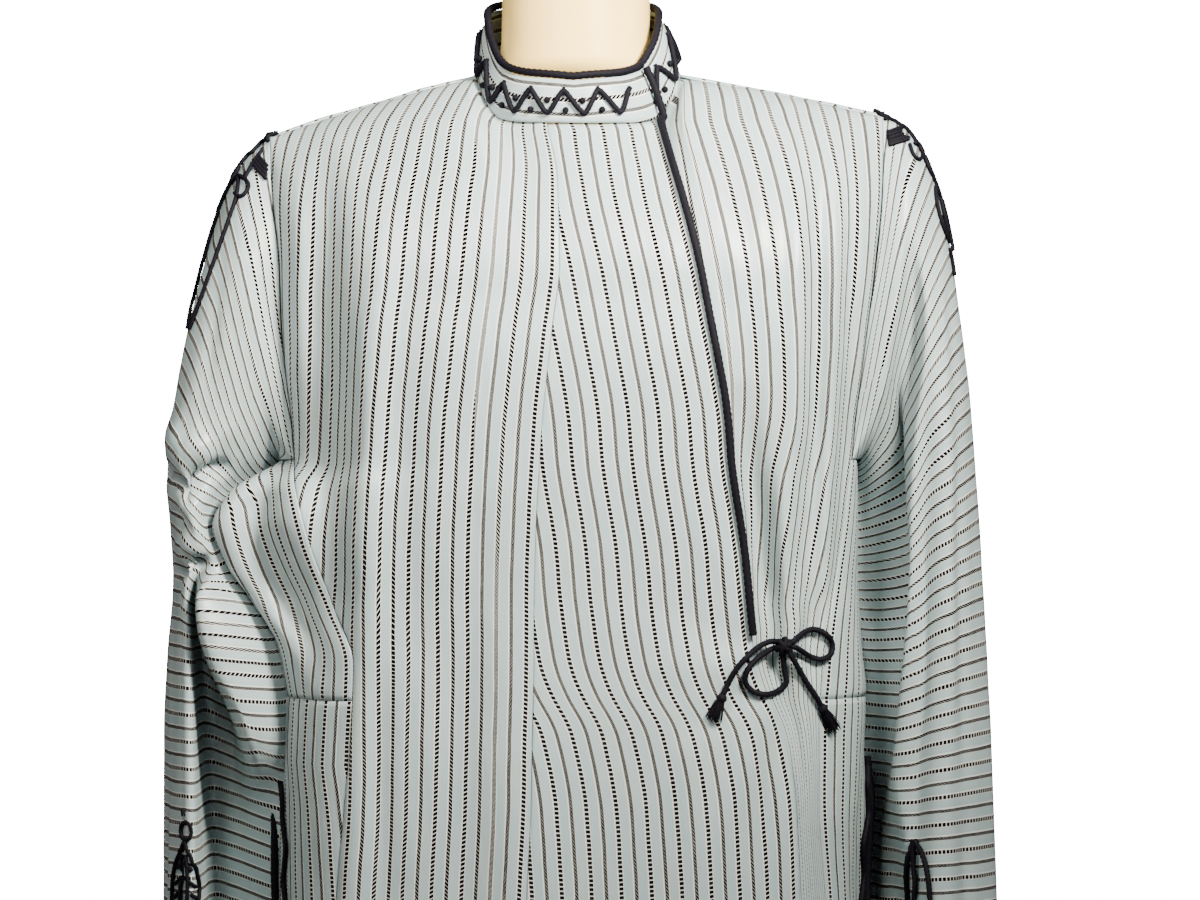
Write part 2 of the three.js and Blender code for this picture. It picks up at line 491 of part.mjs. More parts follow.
// The armhole: down the front edge, under the arm, and up the back edge to the shoulder.
function armholeLoop(isRight) {
  const frontCol = isRight ? 0 : leftGrid[0].length - 1;
  const frontGrid = isRight ? rightGrid : leftGrid;
  const backCol = isRight ? backGrid[0].length - 1 : 0;
  const down = frontGrid.slice(0, UNDERARM_ROW + 1).map((row) => row[frontCol]);
  const under = SIDE_SHARES.slice(1, -1).map((share) => sidePoint(UNDERARM, isRight, share));
  const up = backGrid.slice(1, UNDERARM_ROW + 1).map((row) => row[backCol]).reverse();
  return [...down, ...under, ...up];
}

function sleeveGrid(isRight, rings, folds) {
  const side = isRight ? -1 : 1;
  const loop = armholeLoop(isRight);
  const count = loop.length;
  const first = loop.map((p) => p.clone().add(new THREE.Vector3(side * SLEEVE_SEAM, 0, 0)));
  const grid = [first];
  rings.forEach((ring, r) => {
    const out = new THREE.Vector3(side * ring.outX, ring.mid, ring.outZ);
    const inside = new THREE.Vector3(side * ring.inX, ring.mid, ring.inZ);
    const middle = out.clone().add(inside).multiplyScalar(0.5);
    const arm = out.clone().sub(inside).multiplyScalar(0.5);
    const settle = smooth((r + 1) / 4);
    grid.push(loop.map((_, i) => {
      const turn = (i / count) * 2 * Math.PI;
      const c = Math.cos(turn);
      const s = Math.sin(turn);
      const round = (v) => Math.sign(v) * Math.abs(v) ** (2 / SLEEVE_SQUARENESS);
      const lift = sleeveRise(folds, r, (i / count) * 360) * settle;
      const grow = 1 + lift / ring.deep;
      const p = middle.clone().addScaledVector(arm, round(c) * (1 + (lift / arm.length()) * 0.5 * Math.abs(c)));
      p.y -= ring.deep * round(s) * grow;
      return p;
    }));
  });
  return isRight ? grid : grid.map((row) => [row[0], ...row.slice(1).reverse()]);
}
const SLIT_RING = 11;
const rightSleeve = sleeveGrid(true, RIGHT_SLEEVE, RIGHT_SLEEVE_FOLDS);
const leftSleeve = sleeveGrid(false, LEFT_SLEEVE, LEFT_SLEEVE_FOLDS);
const SLEEVE_COLUMNS = rightSleeve[0].length;
const RIGHT_SLIT_COLUMN = Math.floor((67 / 360) * SLEEVE_COLUMNS);
const LEFT_SLIT_COLUMN = SLEEVE_COLUMNS - 1 - Math.floor((112 / 360) * SLEEVE_COLUMNS);

// The cuff slit is a cell wide only in the count: its two sides are drawn together to a narrow gap, these shares
// of a cell at the slit's top and at the cuff.
const SLIT_GAP = { top: 0.12, cuff: 0.3 };
function closeSlit(grid, col) {
  const cols = grid[0].length;
  return grid.map((row, j) => {
    if (j < SLIT_RING) return row;
    const a = row[col];
    const b = row[(col + 1) % cols];
    const gap = mix(SLIT_GAP.top, SLIT_GAP.cuff, (j - SLIT_RING) / (grid.length - 1 - SLIT_RING));
    const middle = a.clone().add(b).multiplyScalar(0.5);
    return row.map((p, i) => {
      if (i === col) return middle.clone().lerp(a, gap);
      if (i === (col + 1) % cols) return middle.clone().lerp(b, gap);
      return p;
    });
  });
}
const rightSlitSleeve = closeSlit(rightSleeve, RIGHT_SLIT_COLUMN);
const leftSlitSleeve = closeSlit(leftSleeve, LEFT_SLIT_COLUMN);
add("sleeve_right", wall(rightSlitSleeve, { closed: true, open: (j, i) => j >= SLIT_RING && i === RIGHT_SLIT_COLUMN }), satin);
add("sleeve_left", wall(leftSlitSleeve, { closed: true, open: (j, i) => j >= SLIT_RING && i === LEFT_SLIT_COLUMN }), satin);

// The stand collar runs from its hidden end under the lap, round the back of the neck, to the lap's edge.
const COLLAR = { x: -2, y: -7, wide: 63, deep: 65.5, thick: 2.2, tuck: 7.5 };
const collarHeight = curve([[0, 31], [60, 36], [90, 42], [180, 42]]);
const lapAngle = Math.asin((lapColumns.at(-1)[0].x - NECK.x) / NECK.wide) / DEGREE;
const anglesOf = (columns) => columns.map((points) => Math.asin(clampTurn((points[0].x - NECK.x) / NECK.wide)) / DEGREE);
function clampTurn(turn) {
  return Math.min(1, Math.max(-1, turn));
}
const collarAngles = [
  ...anglesOf(lapColumns.slice(4)).map((angle) => angle - 360),
  ...anglesOf(leftColumns.slice(1, LEFT_CORNER)).map((angle) => angle - 360),
  -270,
  ...BACK_NECK_ANGLES.map((angle) => angle - 360),
  -90,
  ...anglesOf(rightColumns.slice(RIGHT_CORNER + 1)),
  ...anglesOf(lapColumns.slice(1)),
];
function collarPoint(angle, up) {
  const turn = Math.abs(((angle + 540) % 360) - 180);
  const base = neckPoint(angle);
  const rim = new THREE.Vector3(
    COLLAR.x + COLLAR.wide * Math.sin(angle * DEGREE),
    COLLAR.y - COLLAR.deep * Math.cos(angle * DEGREE),
    base.z + collarHeight(turn),
  );
  const point = base.clone().lerp(rim, up);
  point.z += 0.6 * (1 - up);
  const tucked = smooth((-262 - angle) / 40);
  const inX = point.x - COLLAR.x;
  const inY = point.y - COLLAR.y;
  const length = Math.hypot(inX, inY);
  point.x -= (inX / length) * COLLAR.tuck * tucked;
  point.y -= (inY / length) * COLLAR.tuck * tucked;
  point.z -= 2.5 * tucked * up;
  return point;
}
const collarGrid = [1, 0.5, 0].map((up) => collarAngles.map((angle) => collarPoint(angle, up)));
add("collar", wall(collarGrid, { thick: COLLAR.thick }), satin);

// Cords. A cord is a round section carried along a curve through its points.
function cordGeometry(points, diameter, steps, sides) {
  const section = new THREE.Shape();
  for (let k = 0; k < sides; k++) {
    const turn = (k / sides) * 2 * Math.PI;
    const x = (diameter / 2) * Math.cos(turn);
    const y = (diameter / 2) * Math.sin(turn);
    if (k === 0) section.moveTo(x, y);
    else section.lineTo(x, y);
  }
  const path = new THREE.CatmullRomCurve3(points, false, "centripetal");
  return new THREE.ExtrudeGeometry(section, { steps, bevelEnabled: false, extrudePath: path });
}

// A point over a grid at a fractional row and column, lifted off the cloth.
function over(grid, row, col, lift, closed = false) {
  const cols = grid[0].length;
  const j = Math.min(grid.length - 2, Math.max(0, Math.floor(row)));
  const i = closed ? Math.floor(col) : Math.min(cols - 2, Math.max(0, Math.floor(col)));
  const wrap = (k) => (closed ? (k + cols) % cols : k);
  const corner = (jj, ii) => grid[jj][wrap(ii)].clone().addScaledVector(outward(grid, jj, wrap(ii), { closed }), lift);
  const top = corner(j, i).lerp(corner(j, i + 1), col - i);
  const low = corner(j + 1, i).lerp(corner(j + 1, i + 1), col - i);
  return top.lerp(low, row - j);
}

// Binding cord along the top of the collar
const rim = collarGrid[0];
const rimPoints = rim.map((p, i) => {
  const out = outward(collarGrid, 0, i);
  const along = rim[Math.min(rim.length - 1, i + 1)].clone().sub(rim[Math.max(0, i - 1)]);
  const up = out.clone().cross(along).normalize().multiplyScalar(EDGE_CORD / 2 + CORD_LIFT);
  return p.clone().addScaledVector(out, -COLLAR.thick / 2).add(up);
});
add("collar_rim_cord", cordGeometry(rimPoints, EDGE_CORD, 44, 6), cordBlack);

// Cord down the collar's free end and the lap's edge to the bow
const edgeRows = [];
for (let j = 0; j <= UNDERARM_ROW + 4; j++) {
  const p = lapGrid[j].at(-1).clone();
  const away = p.clone().sub(lapGrid[j].at(-2)).normalize();
  const out = outward(lapGrid, j, LAP_SHARES.length - 1);
  edgeRows.push(p.addScaledVector(away, 1.2).addScaledVector(out, EDGE_CORD / 2 + CORD_LIFT));
}
const collarEnd = [0, 1].map((row) => {
  const p = collarGrid[row].at(-1).clone();
  const out = outward(collarGrid, row, collarAngles.length - 1);
  return p.addScaledVector(out, EDGE_CORD / 2 + CORD_LIFT).add(new THREE.Vector3(1.2, 0, 0));
});
add("lap_edge_cord", cordGeometry([...collarEnd, ...edgeRows], EDGE_CORD, 30, 6), cordBlack);

// A couched cord that weaves along the collar
const WAVES_ON_COLLAR = 13;
const waveStart = 4;
const waveEnd = collarAngles.length - 1.35;
const collarWave = [];
const WAVE_POINTS = WAVES_ON_COLLAR * 4;
const columnAt = curve(collarAngles.map((angle, i) => [angle, i]));
const angleAt = curve(collarAngles.map((angle, i) => [i, angle]));
for (let k = 0; k <= WAVE_POINTS; k++) {
  const share = k / WAVE_POINTS;
  const angle = mix(angleAt(waveStart), angleAt(waveEnd), share);
  const row = 1.02 - 0.42 * Math.cos(share * WAVES_ON_COLLAR * 2 * Math.PI);
  collarWave.push(over(collarGrid, row, columnAt(angle), COUCHED_CORD / 2 + CORD_LIFT));
}
add("collar_wave_cord", cordGeometry(collarWave, COUCHED_CORD, WAVE_POINTS, 5), cordBlack);

// Cords beside the side slits: a straight one on the edge and a waving one beside it
function slitCords(side, isRight, isFront) {
  const rows = slitRows(isRight, isFront);
  const edgeCol = isRight === isFront ? 0 : rows[0].length - 1;
  const first = LEVELS.indexOf(SLIT_TOP) - LEVELS.indexOf(WAIST_SEAM);
  const count = rows.length - 1 - first;
  const inward = edgeCol === 0 ? 1 : -1;
  const place = isFront ? "front" : "back";
  const straight = [];
  const steps = count * 2;
  for (let k = 0; k <= steps; k++) {
    straight.push(over(rows, first + (k / steps) * count - (k === steps ? 0.02 : 0), edgeCol + inward * 0.02, EDGE_CORD / 2 + CORD_LIFT));
  }
  add("slit_edge_" + place + "_" + side, cordGeometry(straight, EDGE_CORD, steps, 6), cordBlack);
}
for (const [side, isRight] of [["right", true], ["left", false]]) {
  slitCords(side, isRight, true);
  slitCords(side, isRight, false);
}

// A waving cord beside the straight one, on the front edge of each slit
const WAVE = { count: 12, steps: 5, place: 0.55, swing: 0.22 };
for (const [side, isRight] of [["right", true], ["left", false]]) {
  const rows = slitRows(isRight, true);
  const first = LEVELS.indexOf(SLIT_TOP) - LEVELS.indexOf(WAIST_SEAM);
  const points = [];
  for (let k = 0; k <= WAVE.count * WAVE.steps; k++) {
    const turns = k / WAVE.steps;
    const across = WAVE.place + WAVE.swing * Math.sin(turns * 2 * Math.PI);
    const z = mix(SLIT_TOP - 4, HEM + 8, turns / WAVE.count);
    const low = LEVELS.findIndex((level) => level <= z);
    const row = low - 1 + (LEVELS[low - 1] - z) / (LEVELS[low - 1] - LEVELS[low]) - LEVELS.indexOf(WAIST_SEAM);
    points.push(over(rows, Math.max(first, row), isRight ? across : rows[0].length - 1 - across, COUCHED_CORD / 2 + CORD_LIFT));
  }
  add("slit_wave_front_" + side, cordGeometry(points, COUCHED_CORD, WAVE.count * WAVE.steps, 4), cordBlack);
}

// Cords on the sleeves, by [row, column]: a long leaf below each shoulder, and a cord round each cuff's slit
const SLEEVE_CORDS = {
  sleeve_head_cord_right: [[0.5, 2.9], [0.72, 2.1], [1.1, 1.75], [1.9, 1.65], [2.6, 1.65], [3.3, 1.7]],
  sleeve_head_cord_left: [[0.5, 21.1], [0.8, 21.8], [1.3, 22.15], [2.1, 22.25], [2.9, 22.3], [3.6, 22.35]],
};
const SLIT_CORD = [
  [13.96, -0.28], [13, -0.27], [12, -0.26], [11.25, -0.22], [10.9, -0.12], [10.7, 0.5],
  [10.9, 1.12], [11.25, 1.22], [12, 1.26], [13, 1.27], [13.96, 1.28],
];
function sleeveCord(name, grid, points, diameter, lift = SLEEVE_CORD_LIFT) {
  const path = points.map(([row, col]) => over(grid, row, col, diameter / 2 + lift, true));
  add(name, cordGeometry(path, diameter, points.length * 3, 6), cordBlack);
}
sleeveCord("sleeve_head_cord_right", rightSlitSleeve, SLEEVE_CORDS.sleeve_head_cord_right, EDGE_CORD);
sleeveCord("sleeve_head_cord_left", leftSlitSleeve, SLEEVE_CORDS.sleeve_head_cord_left, EDGE_CORD);
const roundSlit = (column) => SLIT_CORD.map(([row, col]) => [row, column + col]);
sleeveCord("cuff_cord_right", rightSlitSleeve, roundSlit(RIGHT_SLIT_COLUMN), COUCHED_CORD, CUFF_CORD_LIFT);
sleeveCord("cuff_cord_left", leftSlitSleeve, roundSlit(LEFT_SLIT_COLUMN), COUCHED_CORD, CORD_LIFT);

// The bow: two loops, two tails, the knot and a tassel on each tail. Points are [across, height, forward of the cloth].
const KNOT = { x: 147, z: 982, forward: 4.5 };
function onFront(points) {
  return points.map(([x, z, forward]) => {
    const cloth = Math.min(depthOn(FRONT, x, z), depthOn(UNDERLAP, x, z));
    return new THREE.Vector3(x, cloth - forward - TIE_CORD / 2, z);
  });
}
const bowLoops = {
  bow_loop_low: [
    [146, 974.7, 4.5], [147.5, 965, 1.6], [149, 956, 1.1], [143, 950, 1.1], [134, 948, 1.1], [124, 951, 1.5],
    [119.5, 958, 2.4], [122, 967, 4.4], [129, 974, 6.4], [138.2, 979.5, 5],
  ],
  bow_loop_side: [
    [154.6, 986, 4.5], [162, 991, 2.6], [169, 993, 2.4], [177, 990, 2.4], [182, 983, 2.4], [181, 975, 2.4],
    [174, 972, 2.4], [166, 974, 2.5], [156, 980.5, 4.5],
  ],
};
const bowTails = {
  bow_tail_right: [[139, 985, 5.6], [130, 982, 8.2], [121, 975, 7.4], [113, 966, 4.4], [107, 955, 2.2], [104, 948, 2.7]],
  bow_tail_left: [[151.7, 976, 4.6], [158, 965, 2], [164, 955, 1.5], [170, 946, 1.6], [174, 939, 2]],
};
for (const [name, points] of Object.entries({ ...bowLoops, ...bowTails })) {
  add(name, cordGeometry(onFront(points), TIE_CORD, points.length * 2, 6), cordBlack);
}
const knotCentre = onFront([[KNOT.x, KNOT.z, KNOT.forward]])[0];
const knot = new THREE.SphereGeometry(1, 12, 8);
knot.scale(8.3, 6.2, 6.6);
knot.translate(knotCentre.x, knotCentre.y, knotCentre.z);

// Solids joined by manifold-3d: the tassels' strands into their heads
function solid(geometry) {
  const bare = geometry.clone();
  for (const name of ["normal", "uv"]) bare.deleteAttribute(name);
  const merged = mergeVertices(bare, 1e-4);
  return new wasm.Manifold(new wasm.Mesh({
    numProp: 3,
    vertProperties: merged.attributes.position.array,
    triVerts: new Uint32Array(merged.index.array),
  }));
}
function fromSolid(made) {
  const mesh = made.getMesh();
  const geometry = new THREE.BufferGeometry();
  geometry.setAttribute("position", new THREE.BufferAttribute(new Float32Array(mesh.vertProperties), 3));
  geometry.setIndex(new THREE.BufferAttribute(mesh.triVerts, 1));
  return geometry;
}
add("bow_knot", fromSolid(solid(knot)), cordBlack);

const TASSEL = { head: 3.6, headLength: 6, strands: 10, strand: 1.7 };
function tassel(name, tailPoints, lean, length) {
  const end = onFront([tailPoints.at(-1)])[0];
  const before = onFront([tailPoints.at(-2)])[0];
  const along = end.clone().sub(before).normalize();
  const start = end.clone().addScaledVector(along, 0.1);
  const turn = new THREE.Quaternion().setFromUnitVectors(new THREE.Vector3(0, 0, -1), along);
  const head = new THREE.SphereGeometry(1, 10, 7);
  head.scale(TASSEL.head, TASSEL.head, TASSEL.headLength / 2);
  head.translate(0, 0, -TASSEL.headLength / 2);
  let whole = solid(head);
  for (let k = 0; k < TASSEL.strands; k++) {
    const ring = k < 4 ? 1.1 : 2.4;
    const angle = k < 4 ? (k / 4) * 2 * Math.PI : ((k - 4) / (TASSEL.strands - 4)) * 2 * Math.PI;
    const long = length * (0.86 + 0.14 * Math.abs(Math.sin(k * 2.4)));
    const spread = k < 4 ? 2.6 : 6.4;
    const root = new THREE.Vector3(ring * Math.cos(angle), ring * Math.sin(angle), -TASSEL.headLength + 1.6);
    const bend = new THREE.Vector3(mix(ring, spread, 0.65) * Math.cos(angle), mix(ring, spread, 0.4) * Math.sin(angle), -TASSEL.headLength - long * 0.45);
    const tip = new THREE.Vector3(spread * Math.cos(angle) + lean, 0.62 * spread * Math.sin(angle), -TASSEL.headLength - long);
    whole = whole.add(solid(cordGeometry([root, bend, tip], TASSEL.strand, 3, 3)));
  }
  const geometry = fromSolid(whole);
  geometry.applyQuaternion(turn);
  geometry.translate(start.x, start.y, start.z);
  add(name, geometry, cordBlack);
}
tassel("bow_tassel_right", bowTails.bow_tail_right, 0.5, 15);
tassel("bow_tassel_left", bowTails.bow_tail_left, -0.5, 19);

// The dress form: level rings of the torso, by height, half width, depth in front and behind, and its middle in depth
const FORM = [
  { z: 1478, wide: 53, front: 51, back: 51, y: 0 },
  { z: 1450, wide: 53.5, front: 50, back: 50, y: 0 },
  { z: 1420, wide: 54, front: 50, back: 50, y: 0 },
  { z: 1400, wide: 56, front: 50, back: 50, y: 0 },
  { z: 1390, wide: 60, front: 44, back: 47, y: 1 },
  { z: 1381, wide: 80, front: 31, back: 38, y: 4 },
  { z: 1372, wide: 112, front: 32, back: 38, y: 5 },
  { z: 1361, wide: 142, front: 38, back: 40, y: 4 },
  { z: 1346, wide: 170, front: 50, back: 50, y: 1 },
  { z: 1325, wide: 184, front: 66, back: 62, y: 0 },
  { z: 1290, wide: 188, front: 84, back: 74, y: 0 },
  { z: 1230, wide: 184, front: 108, back: 84, y: 0 },
  { z: 1185, wide: 174, front: 118, back: 86, y: 0 },
  { z: 1120, wide: 160, front: 104, back: 80, y: 0 },
  { z: 1020, wide: 128, front: 82, back: 74, y: 0 },
  { z: 900, wide: 150, front: 92, back: 86, y: 0 },
  { z: 820, wide: 158, front: 92, back: 90, y: 0 },
  { z: 770, wide: 152, front: 86, back: 86, y: 0 },
];
const FORM_SIDES = 26;
function formGeometry() {
  const points = [];
  for (const ring of FORM) {
    for (let k = 0; k < FORM_SIDES; k++) {
      const turn = (k / FORM_SIDES) * 2 * Math.PI;
      const s = Math.sin(turn);
      points.push(ring.wide * Math.cos(turn), ring.y + (s < 0 ? ring.front : ring.back) * s, ring.z);
    }
  }
  const top = FORM.length * FORM_SIDES;
  points.push(0, FORM[0].y, FORM[0].z, 0, FORM.at(-1).y, FORM.at(-1).z);
  const faces = [];
  for (let r = 0; r < FORM.length - 1; r++) {
    for (let k = 0; k < FORM_SIDES; k++) {
      const next = (k + 1) % FORM_SIDES;
      const a = r * FORM_SIDES + k;
      const b = r * FORM_SIDES + next;
      const c = a + FORM_SIDES;
      const d = b + FORM_SIDES;
      faces.push(a, c, d, a, d, b);
    }
  }
  for (let k = 0; k < FORM_SIDES; k++) {
    const next = (k + 1) % FORM_SIDES;
    faces.push(top, k, next);
    const low = (FORM.length - 1) * FORM_SIDES;
    faces.push(top + 1, low + next, low + k);
  }
  const geometry = new THREE.BufferGeometry();
  geometry.setAttribute("position", new THREE.BufferAttribute(new Float32Array(points), 3));
  geometry.setIndex(faces);
  return geometry;
}
add("form_torso", formGeometry(), formCream);

// Neck cap, pole and base, each turned about the pole's line
const STAND = { capRadius: 50, capHeight: 9, poleRadius: 14, baseRadius: 185, baseHeight: 14 };
function turned(profile, sides) {
  const geometry = new THREE.LatheGeometry(profile.map(([r, z]) => new THREE.Vector2(r, z)), sides);
  geometry.rotateX(Math.PI / 2);
  return geometry;
}
const capLow = FORM[0].z + 0.3;
const cap = turned([[0, capLow], [STAND.capRadius, capLow], [STAND.capRadius, capLow + 4], [STAND.capRadius - 5, capLow + STAND.capHeight - 1], [0, capLow + STAND.capHeight]], 24);
cap.translate(0, FORM[0].y, 0);
add("form_neck_cap", cap, standMetal);
const poleTop = FORM.at(-1).z - 0.3;
const poleLow = STAND.baseHeight + 0.3;
add("stand_pole", turned([[0, poleLow], [STAND.poleRadius, poleLow], [STAND.poleRadius, poleTop], [0, poleTop]], 24), standMetal);
add("stand_base", turned([[0, 0], [STAND.baseRadius, 0], [STAND.baseRadius, 5], [STAND.baseRadius - 6, STAND.baseHeight - 3], [40, STAND.baseHeight], [0, STAND.baseHeight]], 40), standMetal);

export default group;
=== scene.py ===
# %% [markdown]
# A long striped satin kaftan hangs on a limbless display form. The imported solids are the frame: each
# visible piece here takes the place of one of them, at a finer scale, and gets its own material.
# %% Load the frame and open the camera
import bpy
import json
import math
import numpy as np
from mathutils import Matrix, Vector, noise
from mathutils.bvhtree import BVHTree

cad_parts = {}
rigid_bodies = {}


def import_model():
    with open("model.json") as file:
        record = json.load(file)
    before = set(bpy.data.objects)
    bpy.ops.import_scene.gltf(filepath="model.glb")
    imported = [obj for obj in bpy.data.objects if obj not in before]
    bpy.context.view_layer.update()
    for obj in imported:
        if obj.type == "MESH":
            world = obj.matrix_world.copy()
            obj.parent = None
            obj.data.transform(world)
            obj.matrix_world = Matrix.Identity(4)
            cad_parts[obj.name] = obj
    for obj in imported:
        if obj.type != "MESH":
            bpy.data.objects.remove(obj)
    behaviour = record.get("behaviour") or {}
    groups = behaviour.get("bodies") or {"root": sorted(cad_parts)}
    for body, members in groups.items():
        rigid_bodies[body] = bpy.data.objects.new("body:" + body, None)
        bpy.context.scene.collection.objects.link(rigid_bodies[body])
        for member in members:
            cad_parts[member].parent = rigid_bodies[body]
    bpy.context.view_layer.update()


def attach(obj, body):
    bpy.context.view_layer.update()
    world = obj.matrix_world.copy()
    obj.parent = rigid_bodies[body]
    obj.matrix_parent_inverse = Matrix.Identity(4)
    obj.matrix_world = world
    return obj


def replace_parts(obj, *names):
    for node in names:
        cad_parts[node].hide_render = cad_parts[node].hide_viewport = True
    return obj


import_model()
MM = 0.001
EYE_ACROSS, EYE_BACK, EYE_HEIGHT = 17.5, 3630, 1120
LENS, SENSOR, FAR_CLIP = 150, 36, 60

camera_data = bpy.data.cameras.new("camera")
camera_data.lens = LENS
camera_data.sensor_width = SENSOR
camera_data.clip_end = FAR_CLIP
camera = bpy.data.objects.new("camera", camera_data)
camera.location = (EYE_ACROSS * MM, -EYE_BACK * MM, EYE_HEIGHT * MM)
camera.rotation_euler = (math.pi / 2, 0, 0)
bpy.context.collection.objects.link(camera)
bpy.context.scene.camera = camera
print("camera looks level at", camera.location[:])

# %% [markdown]
# The coat's sizes are the ones in the CAD source, in millimetres above the floor and across from the
# middle. A smooth curve through a short table gives every size between the listed levels, so fine cloth and
# solid agree.
# %% Curves through tables
def curve(points):
    at, value = (np.array(column, float) for column in zip(*points))
    slope = np.diff(value) / np.diff(at)
    before, after = np.concatenate([slope[:1], slope]), np.concatenate([slope, slope[-1:]])
    bends = before * after > 0
    tangent = np.where(bends, 2 * before * after / np.where(bends, before + after, 1), 0)

    def read(x):
        x = np.clip(x, at[0], at[-1])
        i = np.clip(np.searchsorted(at, x, side="right") - 1, 0, len(at) - 2)
        span = at[i + 1] - at[i]
        t = (x - at[i]) / span
        return ((2 * t**3 - 3 * t**2 + 1) * value[i] + (t**3 - 2 * t**2 + t) * span * tangent[i]
                + (3 * t**2 - 2 * t**3) * value[i + 1] + (t**3 - t**2) * span * tangent[i + 1])
    return read


def smooth(t):
    t = np.clip(t, 0, 1)
    return t * t * (3 - 2 * t)


def mix(a, b, t):
    return a + (b - a) * t


def columns(table):
    """A curve for each column of a table whose first column is the height."""
    return [curve([(row[0], row[k]) for row in table]) for k in range(1, len(table[0]))]


# height, half width right, half width left, depth in front, depth behind
BODY = [
    (130, 285, 285, 160, 150), (450, 246, 242, 144, 134), (700, 217, 209, 131, 119),
    (803, 212, 202, 128, 114), (897, 212, 208, 125, 108), (943, 212, 210, 123, 103),
    (980, 215, 207, 122, 99), (1010, 226, 205, 122, 98), (1040, 243, 204, 124, 97),
    (1065, 252, 204, 126, 97), (1090, 236, 204, 129, 98), (1113, 207, 204, 131, 99),
    (1185, 215, 212, 134, 102), (1230, 219, 220, 129, 101),
]
body_right, body_left, body_front, body_back = columns(BODY)

# height, front right seam, middle seam, lap edge, front left seam, back right seam, back left seam
SEAMS = [
    (130, -205, -48, 178, 214, -205, 208), (803, -169, -34, 159, 178, -172, 168),
    (867, -163, -31, 156, 173, -168, 166), (917, -159, -30, 148, 173, -166, 166),
    (970, -157, -29, 127, 177, -168, 168), (1006, -170, -29, 122, 182, -176, 174),
    (1053, -188, -28, 117, 190, -188, 184), (1113, -202, -25, 108, 198, -201, 197),
    (1142, -204, -23, 105.7, 201, -204, 201), (1206, -211, -16, 94.6, 209, -210, 209),
    (1250, -212.4, -11, 86.4, 215, -213, 215), (1313, -219, -13, 71, 221, -219, 221),
    (1355, -222, -21.6, 59.7, 222, -222, 222),
]
SEAM = dict(zip(("front_right", "middle", "edge", "front_left", "back_right", "back_left"), columns(SEAMS)))
TOP, BUST, UNDERARM, WAIST_SEAM, SLIT_TOP, HEM = 1355, 1230, 1113, 943, 897, 130
print("the coat hangs from", TOP, "to", HEM, "mm above the floor")

# %% [markdown]
# A hanging coat gets its life from folds. Each long fold follows a path down the cloth and rises or sinks
# by a few millimetres; a crease is a short one between two points. They are placed where the photograph
# has them, and similar ones, uneven in length and depth, go on the sides it doesn't show.
# %% Folds and creases
# width, path (height, across), rise (height, millimetres)
FRONT_FOLDS = [
    (15, [(130, -222), (803, -161), (970, -151), (1155, -146), (1260, -137)], [(130, 12), (803, 8),
     (1000, 10), (1200, 9), (1330, 0)]),
    (17, [(1000, -172), (1113, -177), (1240, -181)], [(985, 0), (1040, -10), (1180, -15), (1290, -7),
     (1345, 0)]),
    (26, [(130, -105), (1000, -82)], [(130, -15), (700, -6), (1000, -2), (1100, 0)]),
    (28, [(130, -38), (1000, -40)], [(130, 14), (700, 6), (980, 2), (1100, 0)]),
    (26, [(130, 38), (900, 26)], [(130, -14), (700, -5), (980, 0)]),
    (28, [(130, 108), (900, 88)], [(130, 15), (700, 5), (960, 0)]),
]
UNDERLAP_FOLDS = [
    (12, [(960, 141), (1053, 130), (1142, 119)], [(850, 0), (920, -4), (975, -10), (1030, -17), (1070, -19),
     (1130, -10), (1170, 0)]),
    (10, [(950, 152), (1060, 151), (1200, 157), (1330, 160)], [(930, 0), (1000, 6), (1200, 8), (1350, 0)]),
    (8, [(950, 166), (1200, 171), (1330, 172)], [(930, 0), (1010, -7), (1200, -9), (1340, 0)]),
    (8, [(950, 174), (1200, 183), (1330, 186)], [(930, 0), (1010, 6), (1200, 8), (1330, 0)]),
    (7, [(1000, 184), (1200, 195), (1330, 198)], [(980, 0), (1060, -6), (1200, -8), (1330, 0)]),
]
BACK_FOLDS = [
    (22, [(130, -150), (1000, -128), (1240, -140)], [(130, 16), (700, 8), (1150, 9), (1290, 0)]),
    (24, [(130, -88), (1100, -86)], [(130, -15), (700, -8), (1100, -4), (1230, 0)]),
    (26, [(130, -22), (1100, -30)], [(130, 14), (700, 7), (1050, 4), (1200, 0)]),
    (24, [(130, 52), (1100, 46)], [(130, -16), (700, -8), (1100, -3), (1200, 0)]),
    (22, [(130, 132), (1000, 122), (1240, 136)], [(130, 16), (700, 7), (1150, 10), (1290, 0)]),
]
# across and height of one end, then of the other, width, rise
FRONT_CREASES = [
    (-66, 1392, -60, 1318, 6, 2.6), (-57, 1372, -54, 1330, 5, -1.6), (-78, 1385, -88, 1318, 9, 1.4),
    (-100, 1240, -96, 1010, 16, 2.2), (-120, 1200, -118, 985, 13, -2.6), (-72, 1130, -78, 860, 18, -1.8),
    (-128, 1010, -124, 830, 12, 2.0), (-140, 960, -132, 790, 9, -3.0), (-98, 930, -92, 700, 15, 2.2),
    (-55, 1010, -62, 760, 16, 1.6), (-10, 1200, 8, 1010, 18, 1.2), (24, 1150, 48, 960, 16, -1.4),
    (140, 984, 84, 1075, 12, 2.0), (138, 976, 60, 1010, 11, -1.8), (132, 968, 48, 968, 12, 1.8),
    (134, 960, 66, 916, 11, -2.0), (140, 955, 104, 850, 10, 2.4), (146, 950, 128, 820, 8, -2.6),
    (62, 900, 70, 730, 15, -2.0), (20, 880, 26, 700, 17, 1.6), (-160, 1330, -152, 1250, 10, 1.6),
    (-178, 1325, -172, 1240, 8, -2.2), (-198, 1318, -194, 1170, 5, 2.4), (-206, 1250, -200, 1130, 4, -1.6),
]
